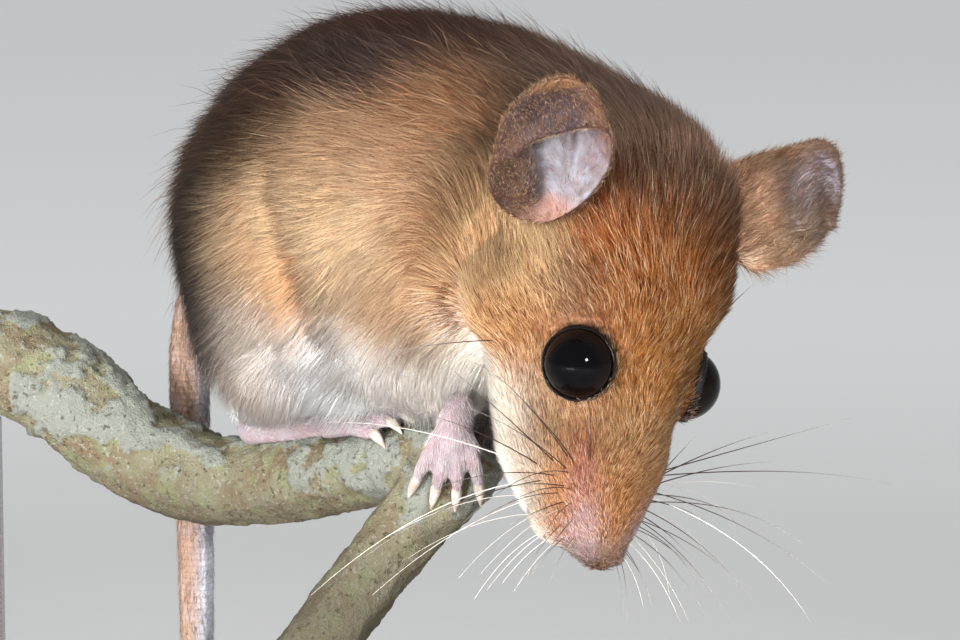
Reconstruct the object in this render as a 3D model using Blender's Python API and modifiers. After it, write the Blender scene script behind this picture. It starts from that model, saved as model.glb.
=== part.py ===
"""A golden mouse, life size, crouched on a short forked twig with its head hanging over the fork.

The twig is a perch on a plain stand. Sizes are in millimetres, and MM turns them into metres.
The origin is the middle of the underside of the stand's base, +Z is up, and the mouse is seen
from -Y: its rump is at the back left, and its head hangs at the front right.
"""
import math
import random

import bmesh
import bpy
from mathutils import Matrix, Vector
from mathutils.bvhtree import BVHTree

MM = 0.001
GAP = 0.3                            # between touching pieces

# The trunk: its middle, the way it faces, and half its length, width and height
BODY_CENTRE = Vector((-4.4, 3.4, 83.3))
BODY_HEADING = math.radians(-43)
BODY_HALF = (16.4, 12.7, 12.5)
CHEST_CUT = 11.3                     # how far ahead of the middle the neck begins
RUMP_CUT = -6.5
BELLY_CUT = 3.2

# The head: its origin is midway between the eyes
HEAD_ORIGIN = Vector((8.3, -14.4, 75.1))
NOSE_WAY = Vector((-0.056, -0.292, -0.955))
CROWN_WAY = Vector((0.691, -0.702, 0.174))

# Along the head from nose to nape: (ahead of the eyes, middle's height, half width, rise, drop)
HEAD_SECTIONS = [
    (11.8, -1.1, 0.9, 0.8, 0.8),
    (11.1, -1.2, 1.5, 1.3, 1.4),
    (10.0, -1.6, 2.4, 2.1, 2.2),
    (8.8, -2.1, 3.3, 3.1, 3.3),
    (7.4, -2.5, 4.2, 4.0, 4.3),
    (5.7, -2.7, 5.0, 5.1, 5.4),
    (3.0, -2.5, 5.6, 6.2, 6.3),
    (0.0, -2.2, 6.5, 7.2, 7.0),
    (-3.0, -2.0, 7.7, 7.8, 7.4),
    (-6.0, -1.6, 8.2, 7.7, 7.6),
    (-9.0, -1.3, 8.3, 7.5, 7.6),
    (-12.0, -1.2, 7.9, 6.9, 7.4),
    (-14.5, -1.2, 6.6, 5.6, 6.2),
    (-16.0, -1.4, 4.2, 3.4, 4.0),
]
HEAD_CUT_NAPE = (-12.8, 6.0)         # the cut from head to neck: (ahead, up) on the nape
HEAD_CUT_THROAT = (-4.0, -9.0)       # and on the throat

EYE_RADIUS = 2.15
EYE_PLACE = (4.75, 0.5, 0.8)         # right, ahead, up
EYE_WAY = (0.87, 0.22, 0.44)
LID_RING = 2.3
LID_OUT = 0.85
LID_THICKNESS = 0.34

NOSTRIL_PLACE = (0.8, 11.5, -1.3)
NOSTRIL_SIZE = 0.42
MOUTH_LINE = [(0.0, 9.6), (1.5, 8.9), (2.9, 7.6), (3.9, 6.0)]   # (right, ahead), laid on the muzzle
MOUTH_WIDTH = 0.3

# Each ear: root, the way it stands, the way its cup opens, then length, width and depth
EARS = {
    "right": ((7.4, -7.9, 2.7), (0.67, -0.62, 0.40), (0.42, 0.75, 0.45), 9.6, 7.6, 4.2),
    "left": ((-5.8, -9.6, 2.4), (-0.90, -0.40, 0.22), (-0.30, 0.40, -0.85), 8.4, 8.4, 4.2),
}
EAR_WALL = 0.55

# The branch along which it sits: (x, y, z, radius), left end to the fork
BRANCH = [
    (-39.0, 15.4, 71.6, 3.3),
    (-33.5, 15.5, 71.6, 3.4),
    (-28.6, 15.2, 69.8, 3.5),
    (-24.6, 14.4, 66.6, 3.5),
    (-20.3, 13.1, 64.2, 3.2),
    (-15.1, 10.3, 63.8, 2.8),
    (-9.6, 5.4, 65.2, 2.65),
    (-5.0, 0.6, 66.9, 2.6),
    (-1.9, -3.3, 67.6, 2.5),
]
# The stem that it grows from, cut end to broken end
STEM = [
    (-11.1, -5.1, 54.8, 2.5),
    (-9.3, -4.8, 57.3, 2.45),
    (-6.8, -4.3, 60.7, 2.35),
    (-4.3, -3.9, 63.8, 2.45),
    (-2.0, -3.7, 66.6, 2.6),
    (-0.2, -3.8, 68.7, 2.2),
]
BARK_BUMP = 0.16

# The tail: (x, y, z) down its middle, then its thickness at root and tip
TAIL = [
    (-15.4, 12.6, 79.4),
    (-17.8, 16.2, 77.2),
    (-19.4, 18.7, 72.4),
    (-19.6, 19.2, 66.0),
    (-19.3, 18.7, 59.0),
    (-19.2, 18.0, 50.0),
    (-19.1, 17.7, 40.0),
    (-19.0, 17.8, 29.0),
    (-18.8, 17.6, 19.0),
    (-18.2, 17.1, 12.4),
]
TAIL_ROOT = 1.65
TAIL_TIP = 0.42
TAIL_LENGTHS = 4

# Feet: x along the branch at the heel and knuckles, and the turn round it from its top
HIND_FEET = {"right": (-13.2, -7.4, 14.0), "left": (-15.0, -9.0, -74.0)}
# The sole, row by row: how far on from the heel, its middle's height over the bark, radius
HIND_SOLE = [(-0.4, 1.1, 1.15), (1.6, 0.8, 0.9), (3.8, 0.55, 0.72), (5.0, 0.7, 0.85)]
HIND_TOE = 3.3
TOE_SPREAD = 11.0                    # degrees round the branch from toe to toe
TOE_RADII = (0.6, 0.5, 0.45)         # at its root, bend and tip
FINGER_RADII = (0.55, 0.46, 0.4)
FINGER_SPREAD = 0.85
CLAW_LENGTH = 1.1

# Forepaws: wrist, palm and the tips of the middle digits
FOREPAWS = {
    "right": ((-1.5, -5.2, 71.2), (-1.6, -6.5, 69.6), (-2.0, -6.9, 66.9)),
    "left": ((2.3, -2.4, 71.6), (1.5, -1.4, 70.0), (-0.4, -0.3, 67.0)),
}

# The stand
BASE_SIZE = (90.0, 74.0, 8.0)
ROD_RADIUS = 1.6
ROD_PLACES = {"stand_rod_1": (-33.5, 15.5), "stand_rod_2": (-11.1, -5.1)}

# Colour, roughness and metallic value of each surface
COLOURS = {
    "rust": ((0.40, 0.13, 0.035), 0.85, 0.0),
    "brown": ((0.22, 0.09, 0.035), 0.85, 0.0),
    "gold": ((0.50, 0.24, 0.09), 0.85, 0.0),
    "ear": ((0.20, 0.10, 0.09), 0.6, 0.0),
    "eye": ((0.008, 0.006, 0.006), 0.08, 0.0),
    "skin": ((0.70, 0.42, 0.38), 0.5, 0.0),
    "tail": ((0.50, 0.32, 0.30), 0.6, 0.0),
    "bark": ((0.36, 0.34, 0.25), 0.9, 0.0),
    "wood": ((0.30, 0.16, 0.08), 0.45, 0.0),
    "steel": ((0.55, 0.55, 0.56), 0.3, 1.0),
}


def clear_scene():
    for obj in list(bpy.data.objects):
        bpy.data.objects.remove(obj, do_unlink=True)


def new_collection(name):
    collection = bpy.data.collections.new(name)
    bpy.context.scene.collection.children.link(collection)
    return collection


clear_scene()
MODEL = new_collection("golden_mouse")
TOOLS = new_collection("cutters")


def material(name):
    colour, roughness, metallic = COLOURS[name]
    mat = bpy.data.materials.get(name) or bpy.data.materials.new(name)
    mat.use_nodes = True
    shader = mat.node_tree.nodes["Principled BSDF"]
    shader.inputs["Base Color"].default_value = (*colour, 1.0)
    shader.inputs["Roughness"].default_value = roughness
    shader.inputs["Metallic"].default_value = metallic
    return mat


def frame(forward, up):
    """Columns right, forward, up of a frame that looks along forward."""
    forward = forward.normalized()
    right = forward.cross(up).normalized()
    return Matrix((right, forward, right.cross(forward))).transposed()


HEADING = Vector((math.cos(BODY_HEADING), math.sin(BODY_HEADING), 0.0))
BODY_FRAME = frame(HEADING, Vector((0, 0, 1)))
HEAD_FRAME = frame(NOSE_WAY, CROWN_WAY)
SIDES = {"right": 1, "left": -1}


def body_point(right, forward, up):
    return BODY_CENTRE + BODY_FRAME @ Vector((right, forward, up))


def head_point(right, forward, up):
    return HEAD_ORIGIN + HEAD_FRAME @ Vector((right, forward, up))


def head_way(right, forward, up):
    return (HEAD_FRAME @ Vector((right, forward, up))).normalized()


def from_bmesh(bm, name, collection=TOOLS):
    mesh = bpy.data.meshes.new(name)
    bm.to_mesh(mesh)
    bm.free()
    obj = bpy.data.objects.new(name, mesh)
    collection.objects.link(obj)
    return obj


def ellipsoid(centre, half, axes=None, segments=24, rings=16):
    """A stretched ball: centre and half sizes in mm, along the columns of axes."""
    bm = bmesh.new()
    bmesh.ops.create_uvsphere(bm, u_segments=segments, v_segments=rings, radius=1.0)
    size = Matrix.Diagonal(Vector(half)).to_4x4()
    turn = (axes or Matrix.Identity(3)).to_4x4()
    place = Matrix.Translation(centre) @ turn @ size
    bmesh.ops.transform(bm, matrix=Matrix.Scale(MM, 4) @ place, verts=bm.verts)
    return from_bmesh(bm, "ball")


def smooth_path(points, steps):
    """Points along a Catmull-Rom curve through points, which may carry a radius."""
    rows = [Vector(p) for p in points]
    rows = [rows[0] * 2 - rows[1]] + rows + [rows[-1] * 2 - rows[-2]]
    path = []
    for a, b, c, d in zip(rows, rows[1:], rows[2:], rows[3:]):
        for step in range(steps):
            t = step / steps
            path.append(0.5 * (2 * b + (c - a) * t + (2 * a - 5 * b + 4 * c - d) * t * t
                               + (3 * b - a - 3 * c + d) * t ** 3))
    return path + [rows[-2]]


def limb(points, radii, segments=12):
    """A chain of balls along a smooth path, thick enough together to fuse into one limb."""
    rows = [(*p, r) for p, r in zip(points, radii)]
    pieces = []
    last = None
    for row in smooth_path(rows, 12):
        centre = Vector(row[:3])
        if last is None or (centre - last).length > 0.35 * row[3]:
            pieces.append(ellipsoid(centre, (row[3],) * 3, segments=segments, rings=segments // 2 + 2))
            last = centre
    end = rows[-1]
    pieces.append(ellipsoid(Vector(end[:3]), (end[3],) * 3, segments=segments, rings=segments // 2 + 2))
    return pieces


def apply_modifiers(obj):
    graph = bpy.context.evaluated_depsgraph_get()
    mesh = bpy.data.meshes.new_from_object(obj.evaluated_get(graph))
    obj.modifiers.clear()
    obj.data = mesh
    return obj


def drop(*objects):
    for obj in objects:
        bpy.data.objects.remove(obj, do_unlink=True)


def joined(pieces):
    """One mesh that holds all the pieces, still as separate shells."""
    bm = bmesh.new()
    for piece in pieces:
        bm.from_mesh(piece.data)
    drop(*pieces)
    return from_bmesh(bm, "joined")


def in_triangles(mesh):
    """The mesh in triangles, cut so that no two faces choose the same diagonal."""
    for method in ("BEAUTY", "EAR_CLIP"):
        bm = bmesh.new()
        bm.from_mesh(mesh)
        bmesh.ops.triangulate(bm, faces=bm.faces, ngon_method=method)
        if method == "EAR_CLIP" or all(edge.is_manifold for edge in bm.edges):
            return bm
        bm.free()


def keep_largest(obj):
    """Leaves the largest closed surface, and with it no scrap and no sealed hollow."""
    bm = in_triangles(obj.data)
    seen = set()
    islands = []
    for start in bm.faces:
        if start in seen:
            continue
        island = [start]
        seen.add(start)
        for face in island:
            for edge in face.edges:
                for other in edge.link_faces:
                    if other not in seen:
                        seen.add(other)
                        island.append(other)
        islands.append(island)
    islands.sort(key=lambda island: sum(face.calc_area() for face in island))
    loose = [face for island in islands[:-1] for face in island]
    if loose:
        bmesh.ops.delete(bm, geom=loose, context="FACES")
    bm.to_mesh(obj.data)
    bm.free()
    return obj


def fuse(pieces, voxel, triangles, smooth=6):
    """Melts the pieces into one closed skin of about so many triangles."""
    obj = joined(pieces)
    remesh = obj.modifiers.new("skin", "REMESH")
    remesh.mode = "VOXEL"
    remesh.voxel_size = voxel * MM
    relax = obj.modifiers.new("relax", "SMOOTH")
    relax.factor = 0.5
    relax.iterations = smooth
    apply_modifiers(obj)
    keep_largest(obj)
    thin = obj.modifiers.new("thin", "DECIMATE")
    thin.ratio = min(1.0, triangles / len(obj.data.polygons))
    apply_modifiers(obj)
    return keep_largest(obj)


def volume(obj):
    """The closed volume in cubic mm, or None where the mesh is open or empty."""
    bm = bmesh.new()
    bm.from_mesh(obj.data)
    closed = len(bm.faces) > 0 and all(edge.is_manifold for edge in bm.edges)
    size = bm.calc_volume(signed=True) / MM ** 3 if closed else None
    bm.free()
    return size


def boolean(obj, cutter, operation):
    """Cuts or joins with the exact solver, or with the manifold one where that one fails.

    Only the largest closed surface of the result is kept.
    """
    before = obj.data.copy()
    own, other = volume(obj), volume(cutter)
    least = own - other if operation == "DIFFERENCE" else max(own, other)
    most = own if operation == "DIFFERENCE" else own + other
    for solver in ("EXACT", "MANIFOLD"):
        step = obj.modifiers.new("cut", "BOOLEAN")
        step.operation = operation
        step.object = cutter
        step.solver = solver
        keep_largest(apply_modifiers(obj))
        size = volume(obj)
        if size is not None and least - 0.01 * own <= size <= most + 0.01 * own:
            break
        obj.data = before.copy()
    return obj


def copy_of(obj):
    twin = obj.copy()
    twin.data = obj.data.copy()
    TOOLS.objects.link(twin)
    return twin


def swollen(obj, by):
    """A copy whose surface stands out by so many mm."""
    twin = copy_of(obj)
    push = twin.modifiers.new("swell", "DISPLACE")
    push.mid_level = 0.0
    push.strength = by * MM
    return apply_modifiers(twin)


def carve(obj, neighbour, gap=GAP):
    """Cuts obj clear of its neighbour, so that the two meet face to face across the gap."""
    cutter = swollen(neighbour, gap)
    boolean(obj, cutter, "DIFFERENCE")
    drop(cutter)
    return obj


def subtract(obj, cutter):
    boolean(obj, cutter, "DIFFERENCE")
    drop(cutter)
    return obj


def half_of(obj, point, normal, gap=GAP):
    """A copy of the half of obj on the side that normal points to, cut off flat."""
    normal = normal.normalized()
    bm = bmesh.new()
    bmesh.ops.create_cube(bm, size=1.0)
    reach = 120.0
    turn = normal.to_track_quat("Z", "Y").to_matrix().to_4x4()
    place = Matrix.Translation(point + normal * (gap / 2 - reach / 2)) @ turn
    bmesh.ops.transform(bm, matrix=Matrix.Scale(MM, 4) @ place @ Matrix.Scale(reach, 4), verts=bm.verts)
    return subtract(copy_of(obj), from_bmesh(bm, "half"))


def node(obj, name, finish, smooth_angle=50):
    """Names a finished piece, gives it its material and puts it in the model."""
    obj.name = name
    obj.data.name = name
    for collection in list(obj.users_collection):
        collection.objects.unlink(obj)
    MODEL.objects.link(obj)
    obj.data.materials.clear()
    obj.data.materials.append(material(finish))
    obj.data.shade_smooth()
    obj.data.set_sharp_from_angle(angle=math.radians(smooth_angle))
    return obj


def tube_loft(points, sides, bump, seed):
    """A closed tube through (x, y, z, radius) points, its surface roughened like bark."""
    draw = random.Random(seed)
    path = smooth_path(points, 3)
    bm = bmesh.new()
    rings = []
    for number, row in enumerate(path):
        here = Vector(row[:3])
        before = Vector(path[max(number - 1, 0)][:3])
        after = Vector(path[min(number + 1, len(path) - 1)][:3])
        axes = frame(after - before, Vector((0, 0, 1)))
        ring = []
        for side in range(sides):
            angle = math.tau * side / sides
            radius = row[3] + bump * draw.uniform(-1, 1)
            spot = here + axes @ Vector((math.cos(angle), 0, math.sin(angle))) * radius
            ring.append(bm.verts.new(spot * MM))
        rings.append(ring)
    for ring, following in zip(rings, rings[1:]):
        for side in range(sides):
            after = (side + 1) % sides
            bm.faces.new((ring[side], ring[after], following[after], following[side]))
    bm.faces.new(rings[0])
    bm.faces.new(rings[-1])
    bmesh.ops.triangulate(bm, faces=bm.faces)
    bmesh.ops.recalc_face_normals(bm, faces=bm.faces)
    return from_bmesh(bm, "tube")


def surface_of(obj):
    bm = bmesh.new()
    bm.from_mesh(obj.data)
    tree = BVHTree.FromBMesh(bm)
    bm.free()
    return tree


def head_loft(sides=28):
    """The plain egg of the head and nape, from its sections."""
    bm = bmesh.new()
    rings = []
    for ahead, middle, half_width, rise, drop_down in HEAD_SECTIONS:
        ring = []
        for side in range(sides):
            angle = math.tau * side / sides
            height = rise if math.sin(angle) > 0 else drop_down
            spot = head_point(half_width * math.cos(angle), ahead, middle + height * math.sin(angle))
            ring.append(bm.verts.new(spot * MM))
        rings.append(ring)
    for ring, following in zip(rings, rings[1:]):
        for side in range(sides):
            after = (side + 1) % sides
            bm.faces.new((ring[side], ring[after], following[after], following[side]))
    bm.faces.new(rings[0])
    bm.faces.new(rings[-1])
    bmesh.ops.triangulate(bm, faces=bm.faces)
    bmesh.ops.recalc_face_normals(bm, faces=bm.faces)
    return from_bmesh(bm, "head_egg")


def head_pieces():
    pieces = [head_loft()]
    for side in SIDES.values():
        pieces += [
            ellipsoid(head_point(side * 2.0, 8.3, -2.5), (1.9, 2.4, 2.1), HEAD_FRAME),   # whisker pad
            ellipsoid(head_point(side * 5.4, -4.0, -3.0), (3.2, 4.4, 4.6), HEAD_FRAME),  # cheek
            ellipsoid(head_point(side * 0.6, 11.3, -1.1), (0.75, 0.9, 0.75), HEAD_FRAME),  # nose lobe
        ]
    pieces.append(ellipsoid(head_point(0, 6.6, -5.6), (2.3, 2.5, 1.9), HEAD_FRAME))      # chin
    return pieces


def trunk_pieces():
    return [
        ellipsoid(BODY_CENTRE, (BODY_HALF[1], BODY_HALF[0], BODY_HALF[2]), BODY_FRAME),
        ellipsoid(body_point(0, -7.0, -1.2), (12.0, 9.6, 10.8), BODY_FRAME),             # rump
        ellipsoid(body_point(0, 8.0, 0.6), (10.4, 9.5, 10.6), BODY_FRAME),               # shoulders
        *limb([(7.8, -9.0, 83.5), (4.3, -5.0, 83.8), (0.5, -1.2, 84.6)], [8.3, 9.6, 10.5], 20),  # neck
    ]


def mouth_groove(tree, line):
    """A thin tube laid on the head's surface along (right, ahead) points under the muzzle."""
    spots = []
    for right, ahead in smooth_path([Vector(p) for p in line], 3):
        inside = head_point(0.0, ahead, -2.6)
        down = head_way(0.28 * right, 0.0, -0.5)
        hit = tree.ray_cast(inside * MM, down)[0]
        if hit is not None:
            spots.append(hit / MM)
    return limb(spots, [MOUTH_WIDTH] * len(spots), 8)


def make_head(whole):
    """The head: lids round the eyes, nostrils, and the line of the mouth."""
    nape = head_point(0, *HEAD_CUT_NAPE)
    throat = head_point(0, *HEAD_CUT_THROAT)
    across = HEAD_FRAME.col[0]
    normal = across.cross(throat - nape)
    if normal.dot(HEAD_ORIGIN - nape) < 0:
        normal = -normal
    front = half_of(whole, body_point(0, CHEST_CUT, 0), HEADING)
    head = half_of(front, nape, normal)
    drop(front)
    for side in SIDES.values():
        right, ahead, up = EYE_PLACE
        centre = head_point(side * right, ahead, up)
        way = head_way(side * EYE_WAY[0], EYE_WAY[1], EYE_WAY[2])
        axes = frame(way, Vector((0, 0, 1)))
        rim = []
        for step in range(21):
            turn = math.tau * step / 20
            around = axes @ Vector((math.cos(turn), 0, math.sin(turn)))
            rim.append(centre + way * LID_OUT + around * LID_RING)
        lid = fuse(limb(rim, [LID_THICKNESS] * len(rim), 8), 0.16, 200, 2)
        boolean(head, lid, "UNION")
        drop(lid)
        subtract(head, ellipsoid(centre, (EYE_RADIUS + GAP,) * 3, segments=20, rings=12))
        right, ahead, up = NOSTRIL_PLACE
        axes = HEAD_FRAME @ Matrix.Rotation(-side * 0.5, 3, "Z")
        nostril = ellipsoid(head_point(side * right, ahead, up),
                            (NOSTRIL_SIZE, 1.1, NOSTRIL_SIZE * 0.8), axes, 8, 6)
        subtract(head, nostril)
    tree = surface_of(head)
    for side in SIDES.values():
        groove = fuse(mouth_groove(tree, [(side * r, a) for r, a in MOUTH_LINE]), 0.1, 160, 1)
        subtract(head, groove)
    return head, nape, normal


def make_trunk(whole, nape, normal):
    """Neck, chest, belly and rump: one form parted by thin flat cuts."""
    chest_spot = body_point(0, CHEST_CUT, 0)
    front = half_of(whole, chest_spot, HEADING)
    neck = half_of(front, nape, -normal)
    back = half_of(whole, chest_spot, -HEADING)
    chest = half_of(back, body_point(0, BELLY_CUT, 0), HEADING)
    middle = half_of(back, body_point(0, BELLY_CUT, 0), -HEADING)
    belly = half_of(middle, body_point(0, RUMP_CUT, 0), HEADING)
    rump = half_of(middle, body_point(0, RUMP_CUT, 0), -HEADING)
    drop(front, back, middle)
    return {"neck": neck, "chest": chest, "belly": belly, "rump": rump}


def make_ear(side, neighbours):
    """A thin cup: a long ball hollowed by a smaller one that is set towards the opening."""
    root, stand, opening, length, width, depth = EARS[side]
    root = head_point(*root)
    stand = head_way(*stand)
    opening = head_way(*opening)
    axes = frame(opening, stand)         # across, opening, along
    stand = axes.col[2]
    middle = root + stand * (length * 0.5 - 0.6)
    outer = ellipsoid(middle, (width / 2, depth / 2, length / 2 + 0.6), axes, 20, 12)
    hollow = ellipsoid(middle + axes.col[1] * (depth * 0.30) + stand * 0.35,
                       (width / 2 - EAR_WALL, depth / 2 + 0.3, length / 2 + 0.1), axes, 20, 12)
    ear = subtract(outer, hollow)
    if side == "left":
        notch = ellipsoid(middle + stand * (length * 0.42) - axes.col[0] * (width * 0.26),
                          (0.9, 3.0, 0.8), axes, 10, 8)
        subtract(ear, notch)
    for neighbour in neighbours:
        carve(ear, neighbour)
    return ear


def make_eye(side):
    right, ahead, up = EYE_PLACE
    return ellipsoid(head_point(SIDES[side] * right, ahead, up), (EYE_RADIUS,) * 3, segments=18, rings=12)


def perch_point(x, turn, lift):
    """A point beside the branch: at x, turned so many degrees from its top towards the front."""
    path = smooth_path(BRANCH, 8)
    number = min(range(len(path)), key=lambda i: abs(path[i][0] - x))
    before = path[max(number - 1, 0)]
    after = path[min(number + 1, len(path) - 1)]
    axes = frame(Vector(after[:3]) - Vector(before[:3]), Vector((0, 0, 1)))
    here = Vector(path[number][:3])
    here += axes.col[1] * ((x - here.x) / axes.col[1].x)
    angle = math.radians(turn)
    out = axes.col[2] * math.cos(angle) + axes.col[0] * math.sin(angle)
    return here + out * (path[number][3] + lift)


def claw(tip, way, down):
    """A short hooked claw at the end of a toe."""
    middle = tip + way * (CLAW_LENGTH * 0.55)
    end = tip + way * CLAW_LENGTH + down * (CLAW_LENGTH * 0.35)
    return limb([tip, middle, end], [0.34, 0.27, 0.2], 6)


def make_hind_foot(side, perch):
    """A long sole along the top of the branch, with five toes spread over it."""
    heel, knuckles, turn = HIND_FEET[side]
    lean = SIDES[side]
    sole = [perch_point(heel + on, turn, lift) for on, lift, _ in HIND_SOLE]
    pieces = limb(sole, [radius for _, _, radius in HIND_SOLE], 12)
    for number in range(5):
        spread = (number - 2) * TOE_SPREAD * lean
        reach = HIND_TOE * (1.0, 1.0, 0.95, 0.8, 0.62)[abs(number - 2) + (number > 2)]
        root = perch_point(knuckles - 0.6, turn + spread * 0.7, 0.65)
        bend = perch_point(knuckles + reach * 0.5, turn + spread * 1.25, 0.95)
        tip = perch_point(knuckles + reach, turn + spread * 1.6, 0.65)
        pieces += limb([root, bend, tip], TOE_RADII, 8)
        way = (tip - bend).normalized()
        pieces += claw(tip, way, Vector((0, 0, -1)))
    foot = fuse(pieces, 0.2, 420, 2)
    for wood in perch:
        carve(foot, wood)
    return foot


def make_forepaw(side, perch):
    """A small hand whose four digits hold on round the fork."""
    wrist, palm, tips = (Vector(p) for p in FOREPAWS[side])
    pieces = limb([wrist, palm], [1.15, 1.05], 12)
    along = (tips - palm).normalized()
    inward = Vector((-1.9, -3.3, 67.6)) - palm
    across = along.cross(inward).normalized()
    for number in range(4):
        offset = (number - 1.5) * FINGER_SPREAD
        reach = (0.86, 1.0, 0.97, 0.8)[number]
        root = palm + across * (offset * 0.7)
        tip = palm + (tips - palm) * reach + across * (offset * 1.4)
        bend = (root + tip) / 2 - inward.normalized() * 0.45
        pieces += limb([root, bend, tip], FINGER_RADII, 8)
        pieces += claw(tip, (tip - bend).normalized(), inward.normalized())
    paw = fuse(pieces, 0.2, 380, 2)
    for wood in perch:
        carve(paw, wood)
    return paw


def hind_leg_form(side):
    """Thigh, knee and shank of one side, as a whole before it is set into the trunk."""
    lean = SIDES[side]
    heel, _, turn = HIND_FEET[side]
    ankle = perch_point(heel + 0.2, turn, 3.1)
    tilt = BODY_FRAME @ Matrix.Rotation(math.radians(-14), 3, "X")
    pieces = [ellipsoid(body_point(lean * 8.0, -4.8, -2.6), (4.8, 7.6, 8.8), tilt)]
    shank = [body_point(lean * 7.6, -3.0, -7.4), body_point(lean * 6.0, -6.6, -10.8), ankle]
    pieces += limb(shank, [3.5, 2.6, 1.6], 14)
    return fuse(pieces, 0.6, 340, 6)


def foreleg_form(side):
    """Upper arm and forearm, down to the wrist."""
    lean = SIDES[side]
    wrist = Vector(FOREPAWS[side][0])
    shoulder = body_point(lean * 8.0, 7.2, 0.5)
    elbow = body_point(lean * 7.8, 4.6, -6.6)
    near = wrist + (elbow - wrist).normalized() * 1.9
    return fuse(limb([shoulder, elbow, near], [4.2, 3.1, 1.6], 14), 0.5, 280, 5)


def make_tail():
    """Four lengths of one tapered tail, a gap apart."""
    path = smooth_path(TAIL, 8)
    run = [0.0]
    for a, b in zip(path, path[1:]):
        run.append(run[-1] + (b - a).length)
    whole = run[-1]

    def at(distance):
        index = max(i for i in range(len(run) - 1) if run[i] <= distance)
        share = (distance - run[index]) / (run[index + 1] - run[index])
        return path[index].lerp(path[index + 1], share)

    lengths = []
    piece = whole / TAIL_LENGTHS
    for number in range(TAIL_LENGTHS):
        start = number * piece + (GAP / 2 if number else 0)
        end = (number + 1) * piece - (GAP / 2 if number < TAIL_LENGTHS - 1 else 0)
        rows = []
        for step in range(7):
            distance = min(start + (end - start) * step / 6, whole - 1e-6)
            share = distance / whole
            radius = TAIL_TIP + (TAIL_ROOT - TAIL_TIP) * (1 - share) ** 0.85
            rows.append((*at(distance), radius))
        lengths.append(plain_tube(rows, 12))
    return lengths


def plain_tube(rows, sides):
    """A tube through every (x, y, z, radius) row, with flat ends, made by a curve's bevel."""
    curve = bpy.data.curves.new("tube", "CURVE")
    curve.dimensions = "3D"
    curve.bevel_depth = MM
    curve.bevel_resolution = sides // 4 - 1
    curve.use_fill_caps = True
    spline = curve.splines.new("POLY")
    spline.points.add(len(rows) - 1)
    for point, row in zip(spline.points, rows):
        point.co = (row[0] * MM, row[1] * MM, row[2] * MM, 1.0)
        point.radius = row[3]
    guide = bpy.data.objects.new("tube", curve)
    TOOLS.objects.link(guide)
    graph = bpy.context.evaluated_depsgraph_get()
    mesh = bpy.data.meshes.new_from_object(guide.evaluated_get(graph))
    drop(guide)
    bm = bmesh.new()
    bm.from_mesh(mesh)
    bmesh.ops.remove_doubles(bm, verts=bm.verts, dist=1e-6)
    bmesh.ops.triangulate(bm, faces=bm.faces)
    bmesh.ops.recalc_face_normals(bm, faces=bm.faces)
    return from_bmesh(bm, "tube")


def make_base():
    width, depth, height = BASE_SIZE
    bm = bmesh.new()
    bmesh.ops.create_cube(bm, size=1.0)
    bmesh.ops.scale(bm, vec=(width * MM, depth * MM, height * MM), verts=bm.verts)
    bmesh.ops.translate(bm, vec=(0, 0, height * MM / 2), verts=bm.verts)
    upright = [edge for edge in bm.edges if abs(edge.verts[0].co.z - edge.verts[1].co.z) > MM]
    bmesh.ops.bevel(bm, geom=upright, offset=6 * MM, segments=4, profile=0.5, affect="EDGES")
    rim = [edge for edge in bm.edges if all(v.co.z > (height - 0.1) * MM for v in edge.verts)]
    bmesh.ops.bevel(bm, geom=rim, offset=1.2 * MM, segments=2, profile=0.5, affect="EDGES")
    return from_bmesh(bm, "base")


def make_rod(place, wood):
    """An upright rod from the base up into the wood, ended a gap below it."""
    top = surface_of(wood).ray_cast(Vector((place[0], place[1], BASE_SIZE[2])) * MM, Vector((0, 0, 1)))[0]
    foot = BASE_SIZE[2] + GAP
    height = top.z / MM - GAP - 0.25 - foot
    bm = bmesh.new()
    bmesh.ops.create_cone(bm, cap_ends=True, segments=16, radius1=ROD_RADIUS * MM,
                          radius2=ROD_RADIUS * MM, depth=height * MM)
    bmesh.ops.translate(bm, vec=Vector((*place, foot + height / 2)) * MM, verts=bm.verts)
    rod = from_bmesh(bm, "rod")
    return carve(rod, wood)


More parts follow.
